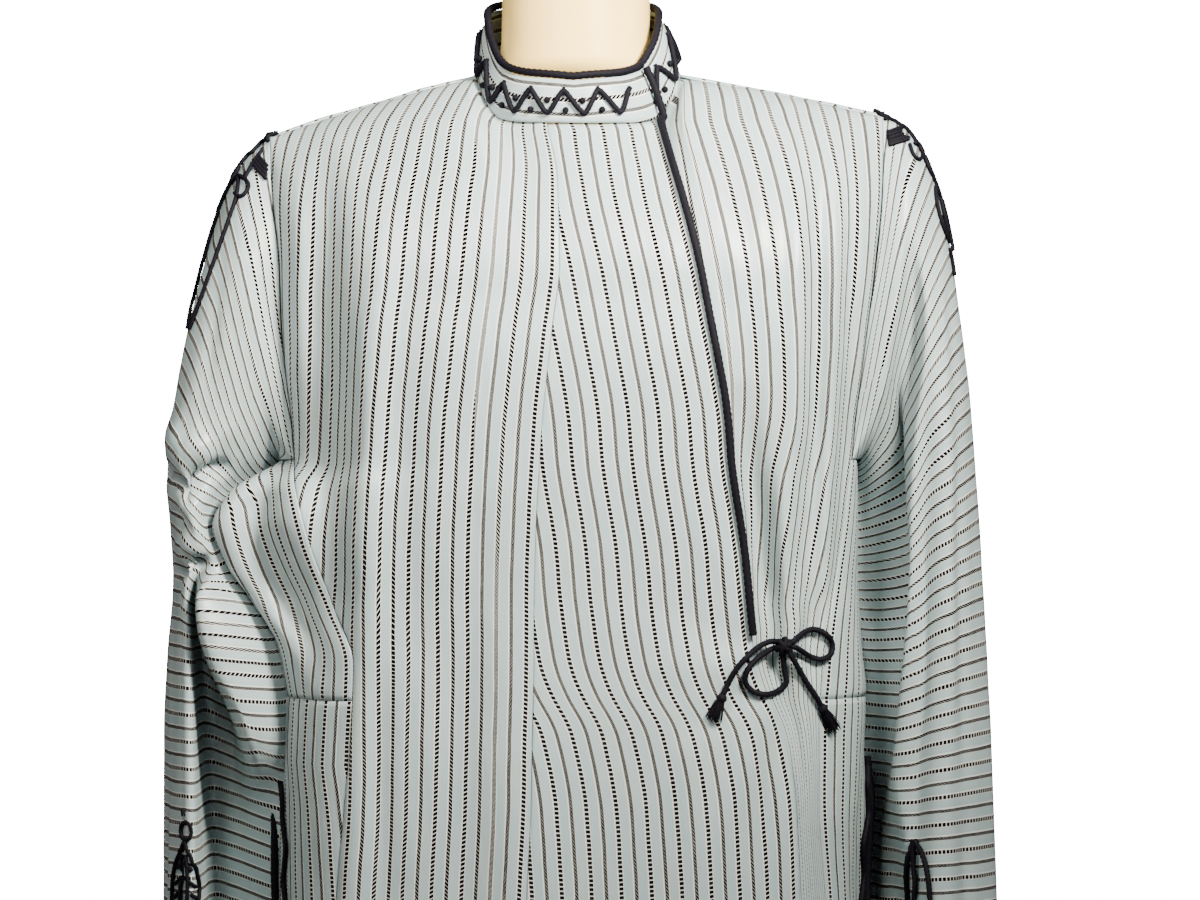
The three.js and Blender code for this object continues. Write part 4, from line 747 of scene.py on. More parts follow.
def stripes_right():
    # across on the shoulder, millimetres from the middle seam: the stripes spread from the neckline
    top = np.interp(-right_points[0, :, 0], [9, 43, 60, 72, 109, 222], [-14, 34, 62, 94, 132, 245])
    return blend_top(right_points, from_last(right_points), top), arcs(right_points, 0)


def stripes_lap():
    return from_last(lap_points), arcs(lap_points, 0)


SHOWN_WIDTH = 168


def stripes_left():
    from_armhole = from_last(left_points)
    shown = from_armhole[:, [np.argmin(np.abs(hidden_shares))]]
    across = from_armhole * mix(1, SHOWN_WIDTH / shown, 0.75)
    top = np.interp(left_points[0, :, 0], [20, 60, 76, 222], [205, 172, 148, 0])
    return blend_top(left_points, across, top), arcs(left_points, 0)


BACK_LEAN, BACK_LEAN_LONG = 14, 26


def stripes_back():
    round_body, down = arcs(back_points, 1), arcs(back_points, 0)
    across = round_body - round_body[:, [np.argmin(np.abs(back_points[40, :, 0]))]]
    x = back_points[0, :, 0]
    out = blend_top(back_points, across, -x)
    yoke = len(YOKE_T)
    aside = BACK_LEAN * np.sign(x) * smooth((np.abs(x) - 70) / 20)
    out[:yoke] += aside * (1 - smooth(down[:yoke] / BACK_LEAN_LONG))
    return out, down


def stripes_plain(points):
    return arcs(points, 1), arcs(points, 0)


def stripes_sleeve(points, bend, reach, low):
    """Above a bend the stripes lean like the sleeve's rings; below it they lie level on the hanging part."""
    down = arcs(points, 0)
    from_cuff = down[-1:] - down
    level = from_cuff[:, ::9].mean(1, keepdims=True)
    from_cuff = sum(np.roll(from_cuff, k, 1) for k in range(-8, 9)) / 17
    follow = mix(0.78, low, smooth((sleeve_rows - bend) / reach))[:, None]
    return mix(from_cuff, level, follow), arcs(points, 1)


def sloping_down(mapped, amount):
    """Stripes of the right sleeve drop from the trench to the body."""
    place = sleeve_places(True) % ROUND
    drop = smooth((place - 6.4) / 5.2) * smooth((24.5 - place) / 10)
    along = smooth((sleeve_rows - 8.2) / 2.4)[:, None]
    return mapped[0] + amount * drop[None] * along, mapped[1]


FIRST_STRIPE = 11.5


def stripes_collar(points):
    return arcs(points, 0) + FIRST_STRIPE, arcs(points, 1)


print("the right front is", round(float(stripes_right()[0].max())), "mm wide at its widest")

# %% [markdown]
# Each piece of cloth starts as a primitive grid with the right number of rows and columns. Its points are
# then moved to their places, the weave's coordinates go into its UV map, and a Solidify modifier gives it
# the thickness of satin with its lining.
# %% Making cloth
CLOTH_THICK, COLLAR_THICK = 1.2, 2.0
WELD = 0.00002  # metres


def place_grid(name, points, uv=None, weld=False):
    rows, cols = points.shape[:2]
    bpy.ops.object.select_all(action="DESELECT")
    bpy.ops.mesh.primitive_grid_add(x_subdivisions=cols - 1, y_subdivisions=rows - 1, size=1, calc_uvs=True)
    piece = bpy.context.object
    piece.name = piece.data.name = name
    mesh = piece.data
    assert len(mesh.vertices) == rows * cols, (len(mesh.vertices), rows, cols)
    # the primitive lists its points from its low edge up, so the rows go in from the last to the first
    mesh.vertices.foreach_set("co", (points[::-1] * MM).reshape(-1).astype(np.float32))
    if uv is not None:
        across, along = uv
        flat = (np.stack([across, along], -1)[::-1] * MM).reshape(-1, 2)
        corner = np.zeros(len(mesh.loops), np.int32)
        mesh.loops.foreach_get("vertex_index", corner)
        mesh.uv_layers.active.data.foreach_set("uv", flat[corner].reshape(-1).astype(np.float32))
    mesh.update()
    if weld:
        bpy.ops.object.mode_set(mode="EDIT")
        bpy.ops.mesh.select_all(action="SELECT")
        bpy.ops.mesh.remove_doubles(threshold=WELD)
        bpy.ops.object.mode_set(mode="OBJECT")
    bpy.ops.object.shade_smooth()
    return piece


def thicken(piece, thick):
    bpy.context.view_layer.objects.active = piece
    wall = piece.modifiers.new("thickness", "SOLIDIFY")
    wall.thickness = thick * MM
    wall.offset = -1
    wall.use_even_offset = False
    bpy.ops.object.modifier_apply(modifier=wall.name)


def crumple(points, size, seed):
    """Soft small unevenness along the cloth, a fraction of a millimetre high."""
    lift = np.zeros(points.shape[:2])
    for j, row in enumerate(points):
        for i, (x, y, z) in enumerate(row):
            broad = noise.noise(Vector((x / 34 + seed, y / 34, z / 80)))
            small = noise.noise(Vector((x / 15 + seed, y / 15, z / 34)))
            lift[j, i] = broad + 0.5 * small
    return points + normals(points) * (lift * size)[..., None]


cloth, shapes = {}, {}
CRUMPLED, COLLAR_CRUMPLED, SEED_STEP = 0.9, 0.25, 7.3


def cloth_piece(node, points, uv, dips=None, closed_edge=False, crumpled=CRUMPLED, thick=CLOTH_THICK):
    """Makes one sheet that takes the place of a CAD node."""
    name = "cloth_" + node
    shaped = crumple(points, crumpled, len(cloth) * SEED_STEP)
    if closed_edge:
        joined_rows = sleeve_rows <= SLIT_ROW
        shaped[joined_rows, -1] = shaped[joined_rows, 0]
    if dips is not None:
        shaped = seam_dip(shaped, **dips)
    piece = place_grid(name, shaped, uv, weld=closed_edge)
    thicken(piece, thick)
    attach(piece, "root")
    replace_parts(piece, node)
    cloth[name], shapes[name] = piece, shaped


# %% [markdown]
# The coat is cut from thirteen pieces. Their outlines meet along the seams because neighbours take their
# edges from the same curve; the order is the one in which the small unevenness is drawn.
# %% The pieces of cloth
SIDES, PARTS = (("right", True), ("left", False)), (("front", True), ("back", False))
cloth_piece("front_right", right_points, stripes_right(), {})
cloth_piece("front_lap", lap_points, stripes_lap(), {"end": False})
cloth_piece("front_left", left_points, stripes_left(), {"start": False})
cloth_piece("back", back_points, stripes_back(), {})
for side, right in SIDES:
    gusset = side_grid(right, gusset_levels, edged(30, 180))
    from_front = from_last(gusset) if right else arcs(gusset, 1)
    cloth_piece("gusset_" + side, gusset, (from_front, arcs(gusset, 0)), {"low": True})
    for part, front in PARTS:
        skirt = slit_grid(right, front)
        sewn = {"start": front != right, "end": front == right}
        cloth_piece("side_%s_%s" % (part, side), skirt, stripes_plain(skirt), sewn)
right_map = sloping_down(stripes_sleeve(right_sleeve, 3.6, 2.4, 0.2), 15)
cloth_piece("sleeve_right", right_sleeve, right_map, closed_edge=True)
turned_sleeve = left_sleeve[:, ::-1]
cloth_piece("sleeve_left", turned_sleeve, stripes_sleeve(turned_sleeve, 0.5, 6.5, 0.5), closed_edge=True)
cloth_piece("collar", collar_grid, stripes_collar(collar_grid), crumpled=COLLAR_CRUMPLED, thick=COLLAR_THICK)

# %% [markdown]
# The form under the coat is a smooth whole torso. Its rings are the CAD's, with more of them, so that the
# neck looks turned and polished; the pole and the base are turned pieces.
# %% Form and stand
# height, half width, depth in front, depth behind, middle
FORM = [
    (1478, 53, 51, 51, 0), (1450, 53.5, 50, 50, 0), (1420, 54, 50, 50, 0), (1400, 56, 50, 50, 0),
    (1390, 60, 44, 47, 1), (1381, 80, 31, 38, 4), (1372, 112, 32, 38, 5), (1361, 142, 38, 40, 4),
    (1346, 170, 50, 50, 1), (1325, 184, 66, 62, 0), (1290, 188, 84, 74, 0), (1230, 184, 108, 84, 0),
    (1185, 174, 118, 86, 0), (1120, 160, 104, 80, 0), (1020, 128, 82, 74, 0), (900, 150, 92, 86, 0),
    (820, 158, 92, 90, 0), (770, 152, 86, 86, 0),
]
NECK_LEVELS, SHOULDER_LEVELS, TORSO_LEVELS = (1478, 1395, 22), (1392, 1330, 24), (1320, 770, 50)
form_levels = np.concatenate([np.linspace(*part) for part in (NECK_LEVELS, SHOULDER_LEVELS, TORSO_LEVELS)])
form_turn = np.linspace(0, 2 * np.pi, 97)
wide, front_deep, back_deep, form_mid = (read(form_levels)[:, None] for read in columns(FORM[::-1]))
sine = np.sin(form_turn)[None]
form_y = form_mid + np.where(sine < 0, front_deep, back_deep) * sine
form_grid = np.stack([wide * np.cos(form_turn)[None], form_y, form_levels[:, None] + 0 * sine], -1)


def close_ends(piece):
    """Fills the open ends of a tube and turns all its faces outwards."""
    bpy.context.view_layer.objects.active = piece
    bpy.ops.object.mode_set(mode="EDIT")
    bpy.ops.mesh.select_all(action="DESELECT")
    bpy.ops.mesh.select_non_manifold()
    bpy.ops.mesh.fill_holes(sides=0)
    bpy.ops.mesh.select_all(action="SELECT")
    bpy.ops.mesh.normals_make_consistent(inside=False)
    bpy.ops.object.mode_set(mode="OBJECT")


form = place_grid("form_torso_smooth", form_grid, stripes_plain(form_grid), weld=True)
close_ends(form)
bpy.ops.object.shade_smooth_by_angle(angle=math.radians(50))
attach(form, "root")
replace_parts(form, "form_torso")
print("form has", len(form.data.polygons), "faces")


def turned(name, node, radius, low, high, bevel):
    """A cylinder at its size and place, with its edges bevelled."""
    bpy.ops.object.select_all(action="DESELECT")
    bpy.ops.mesh.primitive_cylinder_add(vertices=96, radius=radius * MM, depth=(high - low) * MM,
                                        location=(0, 0, (low + high) / 2 * MM))
    piece = bpy.context.object
    piece.name = piece.data.name = name
    bpy.ops.object.transform_apply(location=True)
    edge = piece.modifiers.new("edge", "BEVEL")
    edge.width, edge.segments = bevel * MM, 5
    edge.limit_method, edge.angle_limit = "ANGLE", math.radians(60)
    bpy.ops.object.modifier_apply(modifier=edge.name)
    bpy.ops.object.shade_smooth_by_angle(angle=math.radians(40))
    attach(piece, "root")
    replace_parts(piece, node)
    return piece


BASE_TOP, POLE_TOP, CAP_TOP = 14, 770, 1487
neck_cap = turned("neck_cap_turned", "form_neck_cap", 50, 1478.3, CAP_TOP, 3)
pole = turned("pole_turned", "stand_pole", 14, BASE_TOP, POLE_TOP, 0.5)
base = turned("base_turned", "stand_base", 185, 0, BASE_TOP, 4.5)
print("the stand reaches", POLE_TOP, "mm and the cap", CAP_TOP, "mm")

# %% [markdown]
# Couched cord is a twisted cord laid on the cloth and caught down with small stitches. Each cord here is a
# tube along a smooth line, and its round section is twisted, so three plies show.
# %% Cords
def run_length(line):
    """How far each point of a line is along it."""
    return np.concatenate([[0], np.cumsum(np.linalg.norm(np.diff(line, axis=0), axis=1))])


def smooth_line(points, step=1.1):
    """A dense smooth line through a few points."""
    points = np.array(points, float)
    listed = np.concatenate([[2 * points[0] - points[1]], points, [2 * points[-1] - points[-2]]])
    out = []
    for k in range(1, len(listed) - 2):
        a, b, c, d = listed[k - 1:k + 3]
        count = max(3, int(np.linalg.norm(c - b) / step * 2))
        out.append(through_four(a, b, c, d, np.linspace(0, 1, count, endpoint=False)[:, None]))
    line = np.concatenate(out + [listed[-2:-1]])
    length = run_length(line)
    even = np.linspace(0, length[-1], max(4, int(length[-1] / step)))
    return np.stack([np.interp(even, length, line[:, k]) for k in range(3)], -1)


def directions(line):
    along = np.gradient(line, axis=0)
    return along / np.linalg.norm(along, axis=1, keepdims=True)


def tube(name, line, side, other, turn, radius, uv=None):
    """A closed round tube: side and other point away from the line, at right angles."""
    sideways = np.cos(turn)[None, :, None] * side[:, None] + np.sin(turn)[None, :, None] * other[:, None]
    points = line[:, None] + radius * sideways
    points[:, -1] = points[:, 0]
    piece = place_grid(name, points, uv(points) if uv else None, weld=True)
    close_ends(piece)
    return piece


PLIES, PITCH, PLY_DEPTH = 3, 2.2, 0.11


def cord_mesh(name, line, diameter, sides=12, ride=True):
    """A tube round a line, with the plies of a twisted cord."""
    along, side = directions(line), np.zeros_like(line)
    side[0] = np.cross(along[0], [0.31, 0.2, 0.93])
    for k in range(1, len(line)):
        side[k] = side[k - 1] - along[k] * np.dot(side[k - 1], along[k])
        side[k] /= np.linalg.norm(side[k])
    side[0] /= np.linalg.norm(side[0])
    length = run_length(line)[:, None]
    turn = np.linspace(0, 2 * np.pi, sides + 1)
    twist = length / (diameter * PITCH) * 2 * np.pi
    ply = 1 - PLY_DEPTH + PLY_DEPTH * np.cos(PLIES * (turn[None] - twist))
    piece = tube(name, line, side, np.cross(along, side), turn, (diameter / 2 * ply)[..., None],
                 uv=lambda points: (arcs(points, 1), length + 0 * turn[None]))
    if ride:
        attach(piece, "root")
    return piece


def on_grid(grid, row, col, lift):
    """A point over a grid at a fractional row and column, lifted off the cloth."""
    n = normals(grid)
    row, col = np.clip(row, 0, grid.shape[0] - 1.001), np.clip(col, 0, grid.shape[1] - 1.001)
    j, i = int(row), int(col)
    a, b = row - j, col - i
    pick = lambda g: mix(mix(g[j, i], g[j, i + 1], b), mix(g[j + 1, i], g[j + 1, i + 1], b), a)
    return pick(grid) + pick(n) * lift


def drop_on(pieces, x, z, lift, start=-900):
    """The point of the cloth straight behind a point of the front view, lifted towards the viewer."""
    best = None
    for tree in pieces:
        hit, normal, _, far = tree.ray_cast(Vector((x * MM, start * MM, z * MM)), Vector((0, 1, 0)))
        if hit and (best is None or far < best[2]):
            best = (hit, normal, far)
    if best is None:
        return None
    out = best[1] if best[1].y < 0 else -best[1]
    return np.array(best[0] + out * lift * MM) / MM


def tree_of(name):
    mesh = cloth[name].data
    return BVHTree.FromPolygons([v.co for v in mesh.vertices], [p.vertices for p in mesh.polygons])


trees = {name: tree_of(name) for name in cloth}
print("cords can be laid on", len(trees), "pieces of cloth")

# %% Cords on the collar and the lap
EDGE_CORD, COUCHED_CORD, TIE_CORD = 6.2, 4.3, 4.5
collar = shapes["cloth_collar"]
collar_end = collar.shape[1] - 1
rim_spots = [on_grid(collar, 0, i, -1.0) for i in [*range(0, collar_end + 1, 4), collar_end]]
rim_line = smooth_line([spot + [0, 0, 0.4 + EDGE_CORD / 2] for spot in rim_spots])
rim_cord = cord_mesh("collar_rim_cord_twisted", rim_line, EDGE_CORD)
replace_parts(rim_cord, "collar_rim_cord")

LAP_CORD_END = 972
lap = shapes["cloth_front_lap"]
last_row = len(YOKE_T) + int(np.argmin(np.abs(LEVELS - LAP_CORD_END)))
edge_line = [on_grid(collar, row, collar_end, EDGE_CORD / 2 + 0.2) for row in (0, 4, 8, 12)]
edge_line += [on_grid(lap, row, lap.shape[1] - 1, EDGE_CORD / 2 - 0.3) for row in range(2, last_row, 4)]
edge_line = smooth_line([spot + [1.0, 0, 0] for spot in edge_line])
lap_cord = cord_mesh("lap_edge_cord_twisted", edge_line, EDGE_CORD)
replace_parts(lap_cord, "lap_edge_cord")

# %% [markdown]
# A zigzag of thinner cord runs round the collar, with a knot of thread in each bay and a short stem on each
# peak. A sine with its tips kept round gives the zigzag, in the collar's own rows and columns, so it lies on
# the cloth everywhere.
# %% The zigzag on the collar
WAVES, WAVE_LOW, WAVE_HIGH = 16.75, 9.4, 3.4  # how many, and the collar's rows they go between


def rounded_wave(turns):
    """A zigzag with rounded tips, from -1 to 1."""
    return math.asin(0.93 * math.sin(turns * 2 * math.pi)) / 1.19


def collar_column(share):
    return mix(12, collar_end - 8, share)


def joined(pieces, name):
    """Makes one piece of cord work out of several."""
    bpy.ops.object.select_all(action="DESELECT")
    for piece in pieces:
        piece.select_set(True)
    bpy.context.view_layer.objects.active = pieces[0]
    if len(pieces) > 1:
        bpy.ops.object.join()
    piece = bpy.context.object
    bpy.ops.object.transform_apply(location=True, rotation=True, scale=True)
    piece.name = piece.data.name = name
    bpy.ops.object.shade_smooth()
    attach(piece, "root")
    return piece


def collar_wave():
    line, count = [], int(WAVES * 8)
    for share in (k / count for k in range(count + 1)):
        row = mix(WAVE_HIGH, WAVE_LOW, 0.5 + 0.5 * rounded_wave(share * WAVES))
        line.append(on_grid(collar, row, collar_column(share), COUCHED_CORD / 2 + 0.1))
    return cord_mesh("collar_wave_cord_twisted", smooth_line(line, 1.0), COUCHED_CORD)


def knots_on_collar(name, row, offset):
    """Small round knots of thread between the waves."""
    made = []
    for k in range(int(WAVES)):
        spot = on_grid(collar, row, collar_column((k + offset) / WAVES), 1.2)
        bpy.ops.object.select_all(action="DESELECT")
        bpy.ops.mesh.primitive_uv_sphere_add(segments=12, ring_count=8, radius=2.4 * MM, location=spot * MM)
        made.append(bpy.context.object)
    return joined(made, name)


def stems_on_collar(name, offset):
    """A short bar of cord standing on each peak of the wave."""
    made = []
    for k in range(int(WAVES)):
        col = collar_column((k + offset) / WAVES)
        spots = [on_grid(collar, row, col, 1.6) for row in (4.2, 3.3, 2.4)]
        made.append(cord_mesh("stem", smooth_line(spots, 0.9), 3.0, sides=8, ride=False))
    return joined(made, name)


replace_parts(collar_wave(), "collar_wave_cord")
knots_on_collar("collar_knots_above", 6.0, 0.25)
knots_on_collar("collar_knots_below", 8.6, 0.75)
stems_on_collar("collar_stems", 0.75)
print("collar is", round(float(arcs(collar, 1)[0, -1])), "mm long")

# %% [markdown]
# Both edges of each slit are bound with the thick cord, and the zigzag runs down beside them. It is measured
# in millimetres on the cloth, so its waves stay even where the cloth widens towards the hem.
# %% Cords beside the slits
WAVE_LONG, WAVE_SWING, WAVE_OFF, WAVE_ENDS, WAVE_STEP = 46, 4.6, 12.5, 6, 7.0
first_open = int(np.argmin(np.abs(skirt_levels - SLIT_TOP)))


def stray(down):
    """On the wearer's right the zigzag leaves the slit's edge below its top and comes back to it."""
    away = 16 * smooth(down / 34) * (1 - smooth((down - 140) / 120))
    return away - 6 * (1 - smooth(down / 20))


def slit_cords(side, right, part, front):
    grid, name = shapes["cloth_side_%s_%s" % (part, side)], "%s_%s" % (part, side)
    edge_col = 0 if right == front else grid.shape[1] - 1
    rows = [*range(first_open, grid.shape[0], 3), grid.shape[0] - 1]
    straight = [on_grid(grid, row, edge_col, EDGE_CORD / 2 - 0.2) for row in rows]
    cord = cord_mesh("slit_edge_%s_twisted" % name, smooth_line(straight, 1.6), EDGE_CORD, sides=10)
    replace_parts(cord, "slit_edge_" + name)
    across_mm, order = (from_last(grid)[:, ::-1], -1) if edge_col else (arcs(grid, 1), 1)
    cols = np.arange(grid.shape[1])[::order]
    down = arcs(grid, 0)[:, edge_col]
    start, end = down[first_open] + WAVE_ENDS, down[-1] - WAVE_ENDS
    line, count = [], int((end - start) / WAVE_STEP)
    for at in (mix(start, end, k / count) for k in range(count + 1)):
        row = float(np.interp(at, down, np.arange(len(down))))
        further = stray(at - start) if right and front else 0
        want = WAVE_OFF + further + WAVE_SWING * rounded_wave((at - start) / WAVE_LONG)
        col = float(np.interp(want, across_mm[int(row)], cols))
        line.append(on_grid(grid, row, col, COUCHED_CORD / 2 + 0.1))
    wave = cord_mesh("slit_wave_%s_twisted" % name, smooth_line(line, 1.6), COUCHED_CORD, sides=9)
    if front:
        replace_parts(wave, "slit_wave_front_" + side)


for side, right in SIDES:
    for part, front in PARTS:
        slit_cords(side, right, part, front)
print("slit cords made")

# %% [markdown]
# The bow is tied from two free ends of the same cord. Each makes one loop and one hanging tail, and a
# tassel of cut threads finishes each tail.
# %% The bow
bow_trees = [trees["cloth_" + node] for node in ("front_lap", "front_left", "gusset_left", "side_front_left")]


def on_front(points):
    """Points of the front view, each a given way in front of the cloth behind it."""
    forwards = [np.array([0, forward + TIE_CORD / 2, 0]) for _, _, forward in points]
    return [drop_on(bow_trees, x, z, 0) - forward for (x, z, _), forward in zip(points, forwards)]


# across, height, millimetres between cord and cloth
KNOT = (147, 982, 4.5)
LOW_LOOP = [
    (146, 981, 4.5), (146.6, 974.7, 4.0), (147.5, 965, 1.6), (149, 956, 1.1), (143, 950, 1.1),
    (134, 948, 1.1), (124, 951, 1.5), (119.5, 958, 2.4), (122, 967, 4.4), (129, 974, 6.4),
    (138.2, 979.5, 6), (144, 981, 5),
]
SIDE_LOOP = [
    (148, 983, 4.5), (154.6, 986, 4.5), (162, 991, 2.6), (169, 993, 2.4), (177, 990, 2.4), (182, 983, 2.4),
    (181, 975, 2.4), (174, 972, 2.4), (166, 974, 2.5), (156, 980.5, 4.5), (149, 982, 4.5),
]
TAIL_RIGHT = [
    (146, 983, 6.2), (139, 985, 6.8), (130, 982, 8.2), (121, 975, 7.4), (113, 966, 4.4), (107, 955, 2.2),
    (104, 948, 2.7),
]
TAIL_LEFT = [
    (149, 980, 4.6), (151.7, 976, 4.6), (158, 965, 2), (164, 955, 1.5), (170, 946, 1.6), (174, 939, 2),
]


def tied(side, loop, tail, loop_node, lean, long):
    loop_line, tail_line = on_front(loop), on_front(tail)
    route = smooth_line(loop_line[::-1][:-1] + tail_line, 1.0)
    piece = cord_mesh("bow_cord_" + side, route, TIE_CORD, sides=14)
    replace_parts(piece, loop_node, "bow_tail_" + side)
    threads = tassel("bow_tassel_%s_threads" % side, tail_line, lean, long)
    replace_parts(threads, "bow_tassel_" + side)


def strand(points, width):
    """One thin thread of a tassel, narrowing to its end."""
    line = smooth_line(points, 2.2)
    along = directions(line)
    side = np.cross(along, [0.3, 1, 0.1])
    side /= np.linalg.norm(side, axis=1, keepdims=True)
    radius = width / 2 * (1 - 0.35 * np.linspace(0, 1, len(line)))[:, None, None]
    return tube("strand", line, side, np.cross(along, side), np.linspace(0, 2 * np.pi, 5), radius)


STRANDS, STRAND_WIDTH, GOLDEN_ANGLE = 54, 0.85, 2.39996


def tassel_head(end, along, side, other):
    """A small round head, wrapped with thread."""
    bpy.ops.object.select_all(action="DESELECT")
    bpy.ops.mesh.primitive_uv_sphere_add(segments=20, ring_count=12, radius=1)
    head = bpy.context.object
    ball = np.array([v.co for v in head.data.vertices])
    wrap = 1 + 0.05 * np.cos(ball[:, 2:3] * 17)
    round_it = side * ball[:, :1] * 3.7 * wrap + other * ball[:, 1:2] * 3.5 * wrap
    placed = end + along * 2.6 + round_it - along * ball[:, 2:3] * 3.6
    head.data.vertices.foreach_set("co", (placed * MM).reshape(-1).astype(np.float32))
    head.data.update()
    return head


def tassel(name, tail_line, lean, long):
    end, before = np.array(tail_line[-1]), np.array(tail_line[-2])
    along = (end - before) / np.linalg.norm(end - before)
    side = np.cross(along, [0, 1, 0])
    side /= np.linalg.norm(side)
    other = np.cross(along, side)
    pieces = [tassel_head(end, along, side, other)]
    for k in range(STRANDS):
        angle, ring = k * GOLDEN_ANGLE, math.sqrt((k + 0.5) / STRANDS)
        uneven = noise.noise(Vector((k * 1.7, lean * 3, 0.4)))
        reach = long * (0.84 + 0.2 * uneven + 0.06 * math.sin(k * 1.3))
        out = side * math.cos(angle) * ring + other * math.sin(angle) * ring * 0.62
        root = end + along * 3.6 + out * 2.6
        middle = end + along * (5 + reach * 0.45) + out * (4.6 + 1.6 * uneven)
        hang = np.array([lean, 0, -mix(0.0, 0.35, reach / 30)])
        tip = end + along * (5 + reach) + out * (6.2 + 2.2 * uneven) + hang
        pieces.append(strand([root, middle, tip], STRAND_WIDTH))
    return joined(pieces, name)


tied("right", LOW_LOOP, TAIL_RIGHT, "bow_loop_low", 0.5, 16)
tied("left", SIDE_LOOP, TAIL_LEFT, "bow_loop_side", -0.5, 20)

# %% The knot
knot_middle = np.array(on_front([KNOT])[0])
wraps = []
for k, (tilt, size) in enumerate(((0.5, 1.0), (-0.55, 0.96), (1.35, 0.9))):
    turns = np.linspace(0, 2 * np.pi, 26)
    across, high, bulge = np.cos(turns) * 5.6 * size, np.sin(turns) * 4.4 * size, np.sin(turns * 2) * 0.9
    cosine, sine = math.cos(tilt), math.sin(tilt)
    tilted = np.stack([across * cosine - bulge * sine, high, across * sine + bulge * cosine], -1)
    ring = smooth_line(list(tilted + knot_middle + [0, -0.6 * k, 0]), 0.9)
    wraps.append(cord_mesh("wrap", ring, TIE_CORD * 0.92, sides=12, ride=False))
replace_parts(joined(wraps, "bow_knot_wraps"), "bow_knot")
print("bow tied with", len(wraps), "wraps")

# %% [markdown]
# Sleeve ornaments are the same couched cord, worked close together: a solid leaf on the shoulder seam, a
# curl beside it and a long leaf down the sleeve. They are drawn in the front view and dropped onto the
# cloth.
# %% Ornaments on the sleeves
UPPER = ("sleeve_right", "sleeve_left", "back", "front_right", "front_left")
upper_trees = [trees["cloth_" + node] for node in UPPER]
FRONT_SCALE = 0.722  # millimetres for one unit of the 1200 x 900 picture, at the shoulders and cuffs
STEPS_IN, STEP_IN, STEP_DOWN, PAST_EDGE = 16, 1.0, 0.7, 1.2
SLIT_JUMP = 7


def seen_at(px, py):
    """Across and height, in millimetres, of a point of the picture."""
    across, down = (px - PICTURE_MIDDLE[0]) * FRONT_SCALE, (py - PICTURE_MIDDLE[1]) * FRONT_SCALE
    return EYE_ACROSS + across, EYE_HEIGHT - down


def inside_outline(pieces, x, z, lift):
    """Like drop_on, but a point outside the garment's outline moves in until it meets the cloth."""
    for step in range(STEPS_IN):
        near, low = x - math.copysign(STEP_IN * step, x), z - STEP_DOWN * step
        if drop_on(pieces, near, low, lift) is not None:
            return drop_on(pieces, near - math.copysign(PAST_EDGE if step else 0, x), low, lift)
    return None


def near_others(spots, k):
    """False for a point that fell through a slit, far behind those before and after it."""
    depths = [spot[1] for spot in spots[max(0, k - 4):k + 5]]
    return abs(spots[k][1] - np.median(depths)) < SLIT_JUMP


def couched(name, runs, cord, on=upper_trees):
    """Lays runs of cord, drawn in the front view, on the cloth behind them."""
    made = []
    for run in runs:
        flat = smooth_line([(*seen_at(px, py), 0) for px, py in run], 3.0)
        spots = [inside_outline(on, x, z, cord / 2) for x, z, _ in flat]
        spots = [spot for spot in spots if spot is not None]
        spots = [spot for k, spot in enumerate(spots) if near_others(spots, k)]
        if len(spots) > 3:
            made.append(cord_mesh("run", smooth_line(spots), cord, sides=8, ride=False))
    return joined(made, name)


ROW_GAP, SHORTEST = 3.2, 3


def filled(first_side, other_side):
    """Rows of cord that fill a shape between two lines with as many points."""
    left, right = np.array(first_side, float), np.array(other_side, float)
    count = max(3, int((np.linalg.norm(left[-1] - left[0]) + 1e-6) / ROW_GAP))
    runs = []
    for k in range(count + 1):
        at = k / count * (len(left) - 1)
        i = min(len(left) - 2, int(at))
        a, b = mix(left[i], left[i + 1], at - i), mix(right[i], right[i + 1], at - i)
        if np.linalg.norm(b - a) > SHORTEST:
            runs.append([tuple(a), tuple(mix(a, b, 0.5)), tuple(b)])
    return runs


# %% The drawn lines of the ornaments
# each run's points, across and down, in the picture's units
RIGHT_HEAD = [
    *filled([(269, 126), (262, 135), (254, 146), (246, 157)], [(269, 128), (269, 146), (269, 164),
     (268, 181)]),
    [(268, 127), (258, 139), (246, 153), (236, 166), (228, 180)],
    [(264, 150), (254, 166), (247, 180)],
    [(228, 184), (234, 178), (243, 178), (250, 184), (250, 192), (244, 199), (238, 196), (238, 190)],
    [(238, 168), (230, 180), (221, 198), (212, 220), (205, 244), (200, 272), (195, 302), (191, 330)],
    [(240, 174), (240, 196), (233, 220), (224, 246), (214, 274), (204, 302), (193, 330)],
    *filled([(232, 184), (221, 204), (211, 230), (204, 260), (198, 294)], [(240, 190), (236, 212),
     (227, 240), (216, 268), (204, 298)]),
]
LEFT_HEAD = [
    *filled([(882, 107), (884, 120), (886, 134), (888, 147)], [(882, 108), (896, 116), (908, 126),
     (917, 138)]),
    [(882, 106), (896, 114), (910, 126), (920, 140), (926, 152)],
    [(888, 147), (898, 141), (908, 139)],
    [(908, 146), (912, 158), (919, 160), (921, 151), (915, 144), (909, 146)],
    [(922, 154), (926, 166), (932, 176), (931, 164), (925, 154)],
    [(924, 156), (930, 172), (936, 186), (943, 206), (950, 230), (953, 250)],
    [(934, 182), (934, 200), (939, 222), (947, 240), (953, 250)],
    [(939, 198), (943, 216), (947, 232)],
    [(948, 248), (951, 262), (953, 276)],
    [(941, 190), (946, 212), (951, 232)],
]
